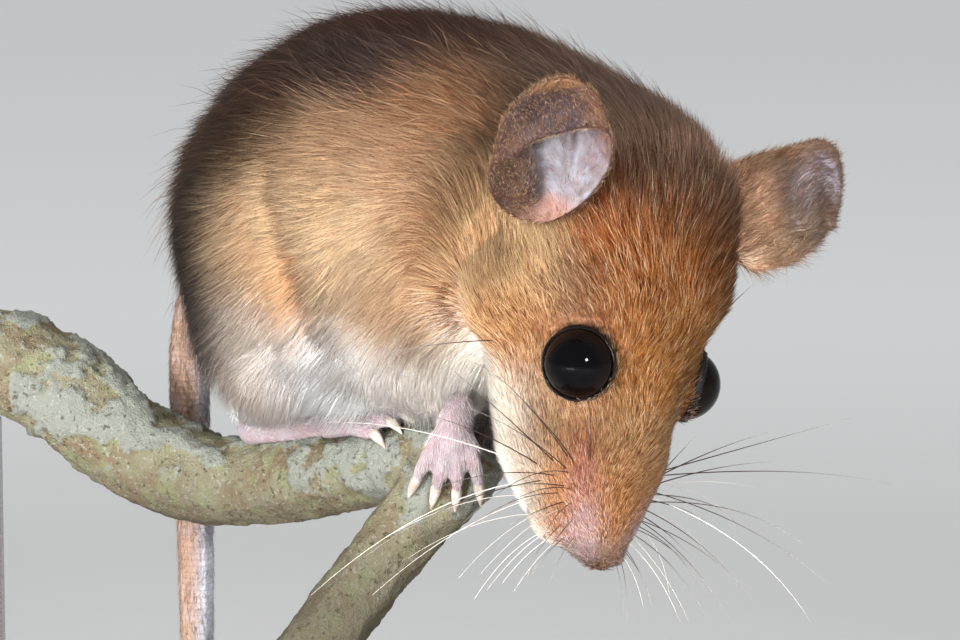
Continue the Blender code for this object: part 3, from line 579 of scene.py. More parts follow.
def makeSkin(look):
    names = list(fleshParts)
    # which node each point of the skin comes from
    corners, polygons, owners = [], [], []
    for index, name in enumerate(names):
        bm = nodeShell([name], 0.0)
        bm.verts.ensure_lookup_table()
        start = len(corners)
        corners += [v.co / mm for v in bm.verts]
        polygons += [[v.index + start for v in f.verts] for f in bm.faces]
        owners += [index] * len(bm.faces)
        bm.free()
    tree = BVHTree.FromPolygons(corners, polygons)
    shell = nodeShell(names, skinLook["swell"])
    for side in sides:  # the solids' sockets are filled, and the lids come later
        ballAt(shell, eyePlace(side) - eyeWay(side) * eyeLook["sunk"], (eyeLook["filled"],) * 3)
    mesh = melted(shell, skinLook["voxel"], skinLook["smooth"])
    points, normals = pointsOf(mesh), normalsOf(mesh)
    owner = np.array([owners[tree.find_nearest(Vector(p))[2]] for p in points])
    edges = rowsOf(mesh.edges, "vertices", 2, np.int32)
    table = np.array([fleshParts[name] for name in names])[owner]
    inHead = seenFrom(headPose, points)
    depth, length, lift, dense = table.T
    # the coat is shortest on the muzzle and grows towards the nape
    onHead = owner == 0
    grow = np.clip((11.5 - inHead[:, 1]) / 22, 0, 1)
    bareDepth, bareLength = skinLook["bare"], skinLook["bareLength"]
    depth = np.where(onHead, bareDepth + 0.75 * grow ** 1.1, depth)
    length = np.where(onHead, 0.65 + 1.3 * grow + 1.5 * grow ** 2.5, length)
    # ankles and wrists are nearly bare
    for name, (end, reach) in limbEnds.items():
        far = np.linalg.norm(points - end, axis=1)
        bare = np.clip((far - reach * 0.35) / reach, 0.0, 1.0)
        mine = owner == names.index(name)
        depth = np.where(mine, bareDepth + (depth - bareDepth) * bare, depth)
        length = np.where(mine, bareLength + (length - bareLength) * bare, length)
    rows = np.stack([depth, length, lift, dense], 1)
    depth, length, lift, dense = spread(rows, edges, skinLook["spread"]).T
    under = np.clip(-normals[:, 2] * 1.6 - 0.3, 0, 1) * ~onHead  # the belly's hair hangs down
    length, lift = length * (1 + 0.8 * under), lift + 34 * under
    lift = lift + 14 * np.clip(1.6 - length, 0, 1)
    for side in sides:  # the hair is very short round each eye
        far = np.linalg.norm(points - eyePlace(side), axis=1)
        length = np.minimum(length, 0.25 + 0.8 * np.maximum(far - 2.1, 0))
        hollow = np.exp(-(np.maximum(far - 3.0, 0) / 1.7) ** 2)
        depth = depth * (1 - 0.8 * hollow) + eyeLook["hollow"] * hollow
        dense = dense * step(far, 2.28, 2.44)
    # a crease in front of each thigh, and the line of the mouth
    inBody = seenFrom(bodyPose, points)
    gap = gapTo(creaseLine, inBody[:, 1:])
    beside = (np.abs(inBody[:, 0]) > 6) * (1 - step(inBody[:, 2], 1.0, 5.0))
    parting = (0.9 * np.exp(-(gap / 0.55) ** 2) - 0.5 * np.exp(-(gap / 2.2) ** 2)) * beside
    bank = spread(np.exp(-(gapTo(creaseLine, inBody[:, 1:], shift=(-2.0, 0)) / 2.0) ** 2) * beside, edges, 4)
    length, lift = length * (1 - 0.2 * bank), lift - 14 * bank  # the hair lies flat behind it
    gap = gapTo(mouthLine, np.column_stack([np.abs(inHead[:, 0]), inHead[:, 1]]))
    mouth = np.exp(-(gap / 0.3) ** 2) * onHead * (inHead[:, 2] < -1.5) * (normals @ headPose["axes"][2] < 0.1)
    depth = depth + skinLook["crease"] * parting + 0.4 * mouth
    length = length * (1 - 0.6 * mouth)
    flow = spread(flowAt(points, owner), edges, 40)
    # the trunk is evened out where the solids meet, all but its ankles and wrists
    ends = np.min([np.linalg.norm(points - end, axis=1) / reach for end, reach in limbEnds.values()], axis=0)
    trunk = spread(step(ends, 0.8, 1.6) * ~onHead, edges, 12)[:, None]
    points = points * (1 - trunk) + spread(points, edges, skinLook["even"]) * trunk
    slack = spread(under, edges, 8) * trunk[:, 0]  # the belly's loose skin sags a little
    points = points - np.outer(slack, (0, 0, skinLook["sag"]))
    movePoints(mesh, points)
    points = points - normalsOf(mesh) * (depth + skinLook["swell"])[:, None]
    points = spread(points, edges, 2)
    for side in sides:  # behind its lid the skin hugs each eye
        off = points - eyePlace(side)
        far = np.linalg.norm(off, axis=1, keepdims=True)
        hug = 1 - step((off @ eyeWay(side))[:, None] / far, 0.2, 0.4)
        snug = eyeLook["radius"] + skinLook["snug"]
        points = points + off / far * np.maximum(snug - far, 0) * hug
    movePoints(mesh, points)
    skin = addPiece("skin", mesh, look)
    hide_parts(*names)
    giveColours(mesh, "markingAndShade", markingsAndShade(points))
    print("skin:", len(points), "points")
    return skin, owner, furOver(skin, flow, length, lift, dense, markingsAndShade)


def unwrap(piece):
    bpy.context.view_layer.objects.active = piece
    piece.select_set(True)
    bpy.ops.object.mode_set(mode="EDIT")
    bpy.ops.mesh.select_all(action="SELECT")
    bpy.ops.uv.smart_project(angle_limit=1.15, island_margin=0.002)
    bpy.ops.object.mode_set(mode="OBJECT")
    piece.select_set(False)


def furOver(piece, flow, length, lift, dense, hues):  # what the hairs on a piece go by, point for point
    unwrap(piece)
    points, normals = pointsOf(piece.data), normalsOf(piece.data)
    ones = np.ones(len(points))
    flow = flow - normals * (flow * normals).sum(1, keepdims=True)
    return {"piece": piece, "point": points, "normal": normals, "flow": unit(flow), "length": length * ones,
            "lift": lift * ones, "dense": dense * ones, "hues": hues}


# every coat's waves in mm, how each hair droops, tapers and sinks in, and its patch's size on the bake map
coatLook = {"bend": 7.0, "curl": 2.2, "curlShare": 0.6, "droop": 0.42, "taper": 0.35, "sunk": 0.12,
            "deepest": 0.1, "patch": 0.0015}


def hairArrays(roots, up, way, length, lift, width, rings):
    # three-sided closed strands that rise from the skin and lie back along way
    count = len(roots)
    side = unit(np.cross(way, up))
    t = np.arange(rings) / rings
    rise, run = np.sin(lift)[:, None], np.cos(lift)[:, None]
    reach = np.concatenate([t, [1.0]])
    along = (reach[None] * run * length[:, None])[..., None] * way[:, None]
    above = ((reach - coatLook["droop"] * reach ** 2)[None] * rise * length[:, None])[..., None] * up[:, None]
    sunk = up * np.minimum(coatLook["deepest"], coatLook["sunk"] * length * rise[:, 0])[:, None]
    path = roots[:, None] + along + above - sunk[:, None]
    thick = width[:, None] * (1 - coatLook["taper"] * t)[None]
    corners = []
    for angle in (math.radians(210), math.radians(330), math.radians(90)):
        offset = side[:, None] * math.cos(angle) + up[:, None] * math.sin(angle)
        corners.append(path[:, :rings] + offset * thick[..., None])
    points = np.concatenate([np.stack(corners, 2).reshape(count, rings * 3, 3), path[:, -1:]], 1)
    faces = [[0, 1, 2]]
    for ring in range(rings - 1):
        for a, b in ((0, 1), (1, 2), (2, 0)):
            low, high = ring * 3, ring * 3 + 3
            faces += [[low + a, high + b, low + b], [low + a, high + a, high + b]]
    top = (rings - 1) * 3
    faces += [[top + a, rings * 3, top + b] for a, b in ((0, 1), (1, 2), (2, 0))]
    size = rings * 3 + 1
    faces = (np.array(faces)[None] + (np.arange(count) * size)[:, None, None]).reshape(-1, 3)
    rootward = np.append(np.repeat(t, 3), 1.0)
    return points.reshape(-1, 3), faces, np.tile(rootward, count), size


def clumped(roots, way, up, every, pull, draw):
    # each hair leans a little towards the middle of its own lock
    centres = roots[draw.permutation(len(roots))[:max(len(roots) // every, 1)]]
    tree = KDTree(len(centres))
    for index, centre in enumerate(centres):
        tree.insert(Vector(centre), index)
    tree.balance()
    lock = np.array([tree.find(Vector(root))[1] for root in roots])
    toward = centres[lock] - roots
    toward -= up * (toward * up).sum(1, keepdims=True)
    return unit(way + toward * pull), draw.random(len(centres))[lock]


def sampleSkin(mesh, chosen, amount, draw):
    # roots spread evenly over some triangles of the skin, with the weights of their corners
    mesh.calc_loop_triangles()
    corner, loops = (rowsOf(mesh.loop_triangles, field, 3, np.int32) for field in ("vertices", "loops"))
    keep = chosen[corner].sum(1) >= 2
    corner, loops = corner[keep], loops[keep]
    points = pointsOf(mesh)
    area = np.linalg.norm(np.cross(points[corner[:, 1]] - points[corner[:, 0]],
                                   points[corner[:, 2]] - points[corner[:, 0]]), axis=1) / 2
    weight = area * amount[corner].mean(1)
    count = int(weight.sum() * hairShare)
    pick = np.searchsorted(np.cumsum(weight) / weight.sum(), np.sort(draw.random(count)))
    share = draw.dirichlet((1, 1, 1), count)
    return corner[pick], loops[pick], share


def growCoat(name, body, chosen, look, rings, width, style, seed, slot="fur"):
    draw = np.random.default_rng(seed)
    skin = body["piece"]
    dense = body["dense"] * style.get("dense", 1.0)
    corner, loops, share = sampleSkin(skin.data, chosen, dense, draw)
    count = len(corner)

    def at(values):
        rows = values[corner]
        return (rows * share.reshape(count, 3, *[1] * (rows.ndim - 2))).sum(1)

    roots, up = at(body["point"]), unit(at(body["normal"]))
    way = at(body["flow"])
    wander = np.stack([waves(roots, coatLook["bend"], k) for k in (11, 12, 13)], 1)
    finer = np.stack([waves(roots, coatLook["curl"], k) for k in (14, 15, 16)], 1)
    way = way + wander * style["wander"] + finer * style["wander"] * coatLook["curlShare"]
    way = way + draw.normal(size=(count, 3)) * style["loose"]
    way = unit(way - up * (way * up).sum(1, keepdims=True))
    way, shade = clumped(roots, way, up, style["lock"], style["pull"], draw)
    way = unit(way - up * (way * up).sum(1, keepdims=True))
    length = at(body["length"]) * draw.uniform(0.7, 1.15, count) * style.get("long", 1.0)
    lift = at(body["lift"]) * style.get("lift", 1.0) + draw.normal(size=count) * style["stray"]
    lift = np.radians(np.clip(lift, 4, 70))
    thick = width * draw.uniform(0.75, 1.25, count)
    points, faces, along, size = hairArrays(roots, up, way, length, lift, thick, rings)
    mesh = makeMesh(name, points, faces, look, slot).data
    colour = body["hues"](roots + draw.normal(size=(count, 3)) * style.get("blur", 0.5))
    giveColours(mesh, "markingAndShade", np.repeat(colour, size, axis=0))
    chance = np.column_stack([draw.uniform(0, 1, count), shade])
    giveColours(mesh, "strand", np.column_stack([along, np.repeat(chance, size, axis=0)]))
    # every strand is a small patch of the bake map, at the place of its root on the skin's unwrap
    uv = rowsOf(skin.data.uv_layers[0].data, "uv", 2)
    spot = (uv[loops] * share[..., None]).sum(1)
    angle = np.arange(size) * 2.4
    patch = np.column_stack([np.cos(angle), np.sin(angle)]) * coatLook["patch"]
    cornerUv = (spot[:, None] + patch[None]).reshape(-1, 2)[faces.ravel()]
    layer = mesh.uv_layers.new(name="OFBake")
    layer.data.foreach_set("uv", cornerUv.astype(np.float32).ravel())
    print(name + ":", count, "hairs,", len(faces), "triangles")


def skinPaint():
    paint = Paint("mouse skin", Roughness=0.8, Specular_IOR_Level=0.15)
    markingAndShade = paint.attribute("markingAndShade")
    pale = paint.between(paint.parts(markingAndShade, 2), 0.25, 0.7)  # under white hair the skin is pink
    shade = paint.mix(pale, (112, 76, 56), (240, 230, 226))
    hue = paint.mix(0.85, markingAndShade, shade, "MULTIPLY")
    patchy = paint.between(paint.grain(0.35, 4), 0.35, 0.7)
    patchy = patchy * paint.between(paint.parts(markingAndShade, 0), 0.02, 0.3)
    paint.bump(paint.grain(0.16, 3, (1, 1, 0.3)), 0.6, 0.08)
    return paint.coloured(paint.mix(patchy * 0.3, hue, (206, 150, 112)))


def coatPaint(name, contrast):
    paint = Paint(name, Roughness=0.5, Specular_IOR_Level=0.18)
    markingAndShade = paint.attribute("markingAndShade")
    strand = paint.attribute("strand")
    along, chance, lock = (paint.parts(strand, k) for k in range(3))
    amber = 1 - paint.between(paint.parts(markingAndShade, 2), 0.3, 0.75)  # none of it on the white hair
    patch = paint.between(paint.grain(4.0, 4), 0.4, 0.65)
    root = paint.mix(1.0, markingAndShade, paint.mix(amber, (244, 238, 234), (172, 132, 106)), "MULTIPLY")
    hue = paint.mix((1 - paint.between(along, 0.05, 0.6)) * contrast, markingAndShade, root)
    # some hairs and some whole locks are darker, others are pale to the tip
    dark = paint.between(chance, 0.78, 0.88) * paint.between(along, 0.15, 0.6) * amber
    hue = paint.mix(dark * (0.8 * contrast), hue, paint.mix(1.0, markingAndShade, (112, 70, 48), "MULTIPLY"))
    shaded = paint.between(lock, 0.5, 1.0) * (0.35 + 0.65 * patch) * amber
    hue = paint.mix(shaded * (0.6 * contrast), hue, paint.mix(1.0, hue, (176, 136, 108), "MULTIPLY"))
    pale = (1 - paint.between(chance, 0.08, 0.2)) * paint.between(along, 0.25, 0.8)
    pale = pale * paint.between(paint.parts(markingAndShade, 0), 0.04, 0.4)
    hue = paint.mix(pale * (0.6 * contrast), hue, (250, 226, 186))
    return paint.coloured(hue)


down = {"wander": 0.2, "loose": 0.2, "lock": 9, "pull": 0.1, "stray": 6}  # short hairs on bare skin


# Eyes
def revolved(profile, centre, way, around):  # a closed ring turned round way from (out, along) points
    way = unit(way)
    across = unit(np.cross(way, (0, 0, 1.0)))
    other = np.cross(way, across)
    angle = np.arange(around) * math.tau / around
    ring = across[None] * np.cos(angle)[:, None] + other[None] * np.sin(angle)[:, None]
    profile = np.asarray(profile, float)
    points = centre + ring[:, None] * profile[None, :, :1] + way * profile[None, :, 1:]
    count = len(profile)
    k, s = np.meshgrid(np.arange(around), np.arange(count), indexing="ij")
    a = (k * count + s).ravel()
    b = (k * count + (s + 1) % count).ravel()
    c = (((k + 1) % around) * count + s).ravel()
    d = (((k + 1) % around) * count + (s + 1) % count).ravel()
    return points.reshape(-1, 3), np.concatenate([np.stack([a, c, d], 1), np.stack([a, d, b], 1)])


def eyePaint():
    paint = Paint("wet black eye", Roughness=0.03, IOR=1.2)
    outside = paint.between(paint.attribute("pupil", "Fac"), 0.55, 0.8)
    return paint.coloured(paint.mix(outside, (3, 3, 5), (12, 7, 6)))


def lidPaint():
    paint = Paint("eye lid", Specular_IOR_Level=0.35)
    rim = paint.attribute("rim", "Fac")
    corner = paint.attribute("corner", "Fac")
    outer = paint.mix(paint.between(corner, 0.96, 0.998), (11, 8, 8), (104, 84, 90))
    hue = paint.mix(paint.between(rim + 0.3 * (paint.grain(0.3) - 0.5), 0.35, 0.75), (5, 4, 5), outer)
    paint.feed("Roughness", paint.between(rim, 0.1, 0.5, 0.12, 0.6))  # the inner rim is wet
    paint.bump(paint.grain(0.16, 2), 0.5, 0.05)
    return paint.coloured(hue)


lidShape = [  # round the opening: outwards, forwards, and how dry and pale it is
    (-0.03, 0.03, 0), (0.03, 0.09, 0), (0.1, 0.07, 0.1), (0.14, -0.05, 0.4),
    (0.18, -0.2, 0.9), (0.19, -0.4, 1), (0.06, -0.5, 1), (0.02, -0.3, 0.5),
]


def makeEye(side, look, lidLook):
    centre, way = eyePlace(side), eyeWay(side)
    radius, opening = eyeLook["radius"], eyeLook["opening"]
    bm = bmesh.new()
    across = unit(np.cross(way, (0, 0, 1.0)))
    ballAt(bm, centre, (radius,) * 3, np.array([across, -np.cross(across, way), way]), 64)
    mesh = meshOf("eye", bm)
    facing = ((pointsOf(mesh) - centre) @ way) / radius
    giveValues(mesh, "pupil", np.clip(np.sqrt(np.maximum(1 - facing ** 2, 0)), 0, 1))
    eye = addPiece("eye_" + side + "_ball", mesh, look)
    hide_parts("eye_" + side)
    # the lid is a thin ring that hugs the ball and slopes off under the fur
    along = math.sqrt(radius ** 2 - opening ** 2)
    profile = [(opening + out, along + on) for out, on, _ in lidShape]
    points, faces = revolved(profile, centre, way, eyeLook["around"])
    uneven = waves(points, 1.1, 17) * 0.022 + waves(points, 0.4, 18) * 0.012
    points = points + unit(points - centre) * uneven[:, None]
    lid = makeMesh("lid_" + side, points, faces, lidLook, "skin")
    # the front corner, towards the nose, is lilac
    toward = headPose["axes"][1] + 0.35 * headPose["axes"][2]
    toward = toward - way * (toward @ way)
    giveValues(lid.data, "rim", np.tile([dry for _, _, dry in lidShape], eyeLook["around"]))
    giveValues(lid.data, "corner", np.clip(unit(points - centre - way * along) @ unit(toward), 0, 1))


# Stage
# painted shade: the floor is darker near the model, where the lamps light it most, and paler far off
stageLook = {"near": (196, 196, 195), "far": (244, 244, 243), "fade": (0.1, 0.6), "radius": 4.0}


def makeStage():
    paint = Paint("pale floor", Roughness=0.9)
    reach = paint.node("ShaderNodeVectorMath", {"operation": "LENGTH"}, {0: paint.place()}, 1)
    paint.feed("Base Color", paint.mix(paint.between(reach, *stageLook["fade"]), stageLook["near"],
                                       stageLook["far"]))
    bm = bmesh.new()
    bmesh.ops.create_circle(bm, cap_ends=True, segments=96, radius=stageLook["radius"])
    floor = inScene("floor", meshOf("floor", bm))
    floor.data.materials.append(paint.material)


lamps = {  # name: (place in mm, width in mm, power in watts, colour, spread in degrees)
    "key": ((-509, -829, 354), 460, 7.4, (1.0, 0.98, 0.95), 180),
    "flash": ((130, -372, 200), 56, 1.2, (1.0, 0.98, 0.96), 180),
    "fill": ((-240, -420, 12), 180, 6.0, (1.0, 0.99, 0.97), 180),
    "rim": ((-120, 380, 330), 260, 0.25, (1.0, 1.0, 1.0), 56),
}
sunLook = {"from": (-0.6, -0.75, 0.5), "strength": 1.2, "softness": 28.0}
skyLook = {"colour": (0.82, 0.84, 0.87, 1), "strength": 0.5}
lit = (0, -8, 76)  # what the lamps point at, in mm


def makeLights():
    bpy.context.scene.view_settings.view_transform = "Standard"
    world = bpy.data.worlds.new("studio")
    bpy.context.scene.world = world
    world.use_nodes = True
    sky = world.node_tree.nodes["Background"].inputs
    sky["Color"].default_value = skyLook["colour"]
    sky["Strength"].default_value = skyLook["strength"]
    for name, (place, width, power, colour, spreading) in lamps.items():
        lamp = bpy.data.lights.new(name, "AREA")
        lamp.shape, lamp.size, lamp.energy, lamp.color = "DISK", width * mm, power, colour
        lamp.spread = math.radians(spreading)
        light = inScene(name, lamp)
        light.location = Vector(place) * mm
        light.visible_glossy = name == "flash"  # only the flash shows in the eyes
        light.rotation_euler = (Vector(lit) - Vector(place)).to_track_quat("-Z", "Y").to_euler()
    lamp = bpy.data.lights.new("soft sun", "SUN")
    lamp.energy, lamp.angle = sunLook["strength"], math.radians(sunLook["softness"])
    light = inScene("soft sun", lamp)
    light.visible_glossy = False
    light.rotation_euler = Vector(sunLook["from"]).to_track_quat("Z", "Y").to_euler()


# Ears: each a thin leaf round a middle, given by its rim in the ear's own plane (across, along)
earLook = {
    "right": {
        "root": (7.4, -7.9, 2.7), "stand": (0.67, -0.62, 0.40), "opening": (0.42, 0.75, 0.45),
        "rim": [(1.9, -0.5), (3.3, 0.1), (4.25, 1.5), (4.25, 3.4), (3.4, 5.6), (2.4, 7.5), (1.1, 8.9),
                (-0.3, 9.5), (-1.5, 9.5), (-2.5, 8.5), (-2.95, 6.8), (-2.9, 4.9), (-2.5, 3.2), (-1.7, 1.9),
                (-0.6, 0.7), (0.6, -0.1)],
        "middle": (0.7, 3.9), "fold": (3.6, 4.1, 0.22), "shade": 0.86,
    },
    "left": {
        "root": (-5.8, -9.6, 2.4), "stand": (-0.90, -0.40, 0.22), "opening": (-0.30, 0.40, -0.85),
        "rim": [(-1.4, -0.8), (-3.0, 0.8), (-3.3, 3.4), (-3.3, 6.6), (-3.3, 9.4), (-2.6, 10.4),
                (-1.0, 9.8), (0.7, 8.5), (2.2, 7.1), (2.3, 6.5), (3.0, 5.0), (3.5, 3.2), (3.7, 1.2),
                (3.3, -0.5), (1.2, -1.4)],
        "middle": (0.1, 4.2), "fold": None, "shade": 1.12,
    },
}
earSize = {"wall": 0.3, "rings": 16, "steps": 4}
# lean, width and height of the crests in the right ear
earCrests = [(-0.25, 0.34, 0.8), (-0.95, 0.24, 0.6), (0.75, 0.4, 0.4)]


def earAxes(look):  # across, opening, along
    opening = turned(headPose, unit(look["opening"]))
    stand = turned(headPose, unit(look["stand"]))
    across = unit(np.cross(opening, stand))
    return np.array([across, opening, np.cross(across, opening)])


def foldOver(across, along):  # how far a place lies above the right ear's fold, and in its pit
    start, height, slope = earLook["right"]["fold"]
    above = along - (height + (start - across) * slope + 0.7 * np.clip(1 - ((across + 0.2) / 3) ** 2, 0, 1))
    return above, (1 - step(above, -0.5, 0.1)) * (1 - step(across, 1.3, 2.3))


def earHeight(side, across, along, reach):  # how far the leaf stands towards its opening
    bowl = 1 - reach ** 2
    if side == "left":
        ridge = 0.35 * np.exp(-((across + 1.5 - 0.12 * along) / 0.8) ** 2)
        return -1.5 * bowl ** 0.8 - ridge * bowl + 0.12 * np.sin(along * 1.9 + across) * bowl
    above, inPit = foldOver(across, along)
    flat = -0.55 * bowl + 0.5 * np.exp(-((above - 0.4) / 0.5) ** 2) * step(bowl, 0, 0.5)
    flat = flat - 0.35 * np.exp(-((above - 2.2) / 0.9) ** 2) * bowl
    flat = flat + 0.16 * np.sin(across * 2.3 + along * 1.4) * bowl
    pit = -2.3 * bowl ** 0.75
    for way, width, tall in earCrests:
        centre = 0.1 + way * (along - 1.0) * 0.75
        pit = pit + tall * np.exp(-((across - centre) / width) ** 2) * bowl * step(along, 0.2, 2.2)
    return flat + (pit - flat) * inPit


earPatches = {  # (across, along), (width, height), colour
    "right": [((0.3, 7.2), (2.6, 1.8), (58, 46, 50)), ((2.8, 5.8), (1.1, 1.4), (70, 46, 40)),
              ((-2.7, 6.6), (0.7, 2.2), (104, 72, 56)), ((0.4, 2.6), (1.0, 1.6), (136, 136, 146)),
              ((-1.5, 3.9), (0.9, 1.0), (132, 126, 136)), ((-0.6, 5.3), (2.0, 0.5), (116, 92, 96)),
              ((3.2, 2.0), (1.2, 1.9), (60, 40, 33)), ((1.4, -0.1), (1.4, 0.5), (150, 114, 104)),
              ((-0.8, 9.3), (2.4, 0.4), (124, 88, 58))],
    "left": [((-1.0, 1.4), (2.8, 1.6), (214, 172, 140)), ((-0.8, 7.8), (1.4, 1.2), (182, 176, 190)),
             ((0.5, 4.8), (2.0, 2.0), (148, 142, 148)), ((-0.8, 9.8), (1.8, 0.5), (124, 94, 72)),
             ((-2.7, 5.0), (0.8, 3.0), (150, 112, 80)), ((1.6, 6.6), (1.0, 1.2), (142, 112, 92)),
             ((2.9, 3.0), (0.5, 2.4), (186, 164, 138))],
}


def earHues(side, hairy=0.0):  # colours of an ear's skin, or of the tan hairs on it
    look = earLook[side]
    root, axes = placed(headPose, look["root"]), earAxes(look)

    def hues(points):
        local = (points - root) @ axes.T
        across, along = local[:, 0], local[:, 2]
        total, colour = 1e-9, 0
        for (a, b), (wide, tall), hue in earPatches[side]:
            near = np.exp(-((across - a) / wide) ** 2 - ((along - b) / tall) ** 2)[:, None] + 1e-7
            total, colour = total + near, colour + near * np.array(tone(*hue))
        colour = colour / total
        if side == "right":  # painted shadow: the dark line under the fold
            above = foldOver(across, along)[0]
            dark = (np.exp(-((above + 0.12) / 0.26) ** 2) * (across < 2.0))[:, None]
            colour = colour * (1 - 0.75 * dark)
        # each ear's colour is scaled by its own factor; the left ear's higher factor is painted light for the
        # shade it lies in
        colour = colour * look["shade"]
        return colour * (1 - hairy) + np.array(tone(176, 144, 112)) * hairy
    return hues


def earPaint():
    paint = Paint("ear skin", Roughness=0.5, Subsurface_Weight=0.12, Subsurface_Scale=0.0006)
    markingAndShade = paint.attribute("markingAndShade")
    mottle = paint.between(paint.grain(0.8, 5), 0.4, 0.62)
    hue = paint.mix(mottle * 0.5, markingAndShade, paint.mix(1.0, markingAndShade, (178, 140, 126), "MULTIPLY"))
    hue = paint.spotted(hue, 0.2, 3, 0.55, 0.75, 0.4, (168, 132, 108))
    paint.feed("Roughness", paint.between(paint.grain(0.5), 0.3, 0.7, 0.38, 0.62))
    paint.bump(paint.grain(0.14, 3) + paint.grain(0.5, 2), 0.55, 0.1)
    return paint.coloured(hue)


def makeEar(side, look, hairLook):
    shape = earLook[side]
    root, axes = placed(headPose, shape["root"]), earAxes(shape)
    closed = shape["rim"] + shape["rim"][:3]
    rim = smoothPath(closed, earSize["steps"])[earSize["steps"]:-earSize["steps"] - 1]
    middle = np.array(shape["middle"])
    rings = earSize["rings"]
    rows = []
    for ring in range(1, rings + 1):
        reach = (ring / rings) ** 0.85
        rows.append(np.column_stack([middle + (rim - middle) * reach, np.full(len(rim), reach)]))
    flat = np.concatenate([[[*middle, 0.0]]] + rows)
    height = earHeight(side, flat[:, 0], flat[:, 1], flat[:, 2])
    points = root + np.column_stack([flat[:, 0], height, flat[:, 1]]) @ axes
    bm = bmesh.new()
    verts = [bm.verts.new(p * mm) for p in points]
    count = len(rim)
    for k in range(count):
        after = (k + 1) % count
        bm.faces.new((verts[0], verts[1 + k], verts[1 + after]))
        for ring in range(rings - 1):
            a, b = 1 + ring * count, 1 + (ring + 1) * count
            bm.faces.new((verts[a + k], verts[b + k], verts[b + after], verts[a + after]))
    bmesh.ops.recalc_face_normals(bm, faces=bm.faces)
    bm.normal_update()
    facing = sum((np.array(face.normal) @ axes[1] for face in bm.faces), 0.0)
    if facing < 0:
        bmesh.ops.reverse_faces(bm, faces=bm.faces)
    guide = inScene("ear", meshOf("ear", bm))
    wall = guide.modifiers.new("wall", "SOLIDIFY")
    wall.thickness, wall.offset = earSize["wall"] * mm, -1
    guide.modifiers.new("round", "SUBSURF").levels = 1
    mesh = settled(guide)
    ear = addPiece("ear_" + side + "_leaf", mesh, look)
    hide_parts("ear_" + side)
    hues = earHues(side)
    points, normals = pointsOf(mesh), normalsOf(mesh)
    giveColours(mesh, "markingAndShade", hues(points))
    local = (points - root) @ axes.T
    inside = (normals @ axes[1]) > 0.1
    edge = 1 - step(np.abs(normals @ axes[1]), 0.15, 0.7)
    if side == "right":
        bare = inside * foldOver(local[:, 0], local[:, 2])[1]
        thin, long = 1 - 0.85 * bare, 0.6 + 0.3 * edge
    else:
        thin, long = 1.3 - 0.4 * step(local[:, 2], 5.0, 8.0), 1.7 - 0.8 * step(local[:, 2], 2.0, 8.0)
    way = np.tile(axes[2], (len(points), 1)) + axes[0] * (0.25 if side == "right" else -0.2)
    fur = furOver(ear, way, long, 22, 56 * (thin + 0.8 * edge), earHues(side, 0.45))
    growCoat("ear_" + side + "_fuzz", fur, np.ones(len(points), bool), hairLook, 1, 0.02,
             dict(down, wander=0.3, loose=0.25, stray=10), 41 + sides[side], "ear_skin")


# Nose: two small lobes with nostrils, in very short hair
noseLook = {"nostril": (0.8, 11.4, -1.5), "size": 0.1}
noseBalls = [  # right, ahead, up, and the three half widths
    ((0.72, 10.8, -1.0), (0.92, 0.72, 0.95)), ((0.8, 10.2, -1.2), (1.1, 1.1, 1.2)),
    ((0.0, 10.1, -0.6), (1.05, 1.3, 0.95)), ((0.0, 10.4, -1.9), (0.7, 0.8, 0.7)),
]


def nosePaint():
    paint = Paint("nose skin", Roughness=0.36, Subsurface_Weight=0.15, Subsurface_Scale=0.0005,
                  Coat_Weight=0.25)
    markingAndShade = paint.attribute("markingAndShade")
    hue = paint.spotted(markingAndShade, 0.35, 4, 0.4, 0.7, 0.6, (132, 92, 88))
    paint.bump(paint.cells(0.16), 0.5, 0.05)
    return paint.coloured(hue)


def makeNose(look, hairLook):
    bm = bmesh.new()
    axes = headPose["axes"]
    for side in sides.values():
        for (right, ahead, up), half in noseBalls:
            ballAt(bm, placed(headPose, (side * right, ahead, up)), half, axes)
    mesh = melted(bm, noseLook["size"], 4)
    points, normals = pointsOf(mesh), normalsOf(mesh)
    local = seenFrom(headPose, points)
    local[:, 0] = np.abs(local[:, 0])
    off = local - noseLook["nostril"]
    hole = np.exp(-(off[:, 0] / 0.3) ** 2 - (off[:, 1] / 0.55) ** 2 - (off[:, 2] / 0.24) ** 2)
    groove = np.exp(-(local[:, 0] / 0.14) ** 2) * step(local[:, 1], 10.8, 11.4)
    groove = groove * (1 - step(local[:, 2], -1.0, -0.5))
    points = points - normals * (hole * 0.55 + groove * 0.16)[:, None]
    movePoints(mesh, points)
    nose = addPiece("nose", mesh, look)
    # painted shade: the nostrils and the middle groove are darker
    hue = markingsAndShade(points) * 0.45 * (1 - 0.8 * hole[:, None]) * (1 - 0.35 * groove[:, None])
    giveColours(mesh, "markingAndShade", hue)
    back = local[:, 1] < 11.5
    bare = 1 - np.clip(hole + groove, 0, 1)
    way = -axes[1] + axes[0] * (local[:, :1] * 0.2 * np.sign(seenFrom(headPose, points)[:, :1]))
    fur = furOver(nose, way, 0.3 + 0.16 * back, 34, 260 * bare, markingsAndShade)
    growCoat("nose_hairs", fur, np.ones(len(points), bool), hairLook, 1, 0.015,
             dict(down, loose=0.25, pull=0.05, stray=10), 44)


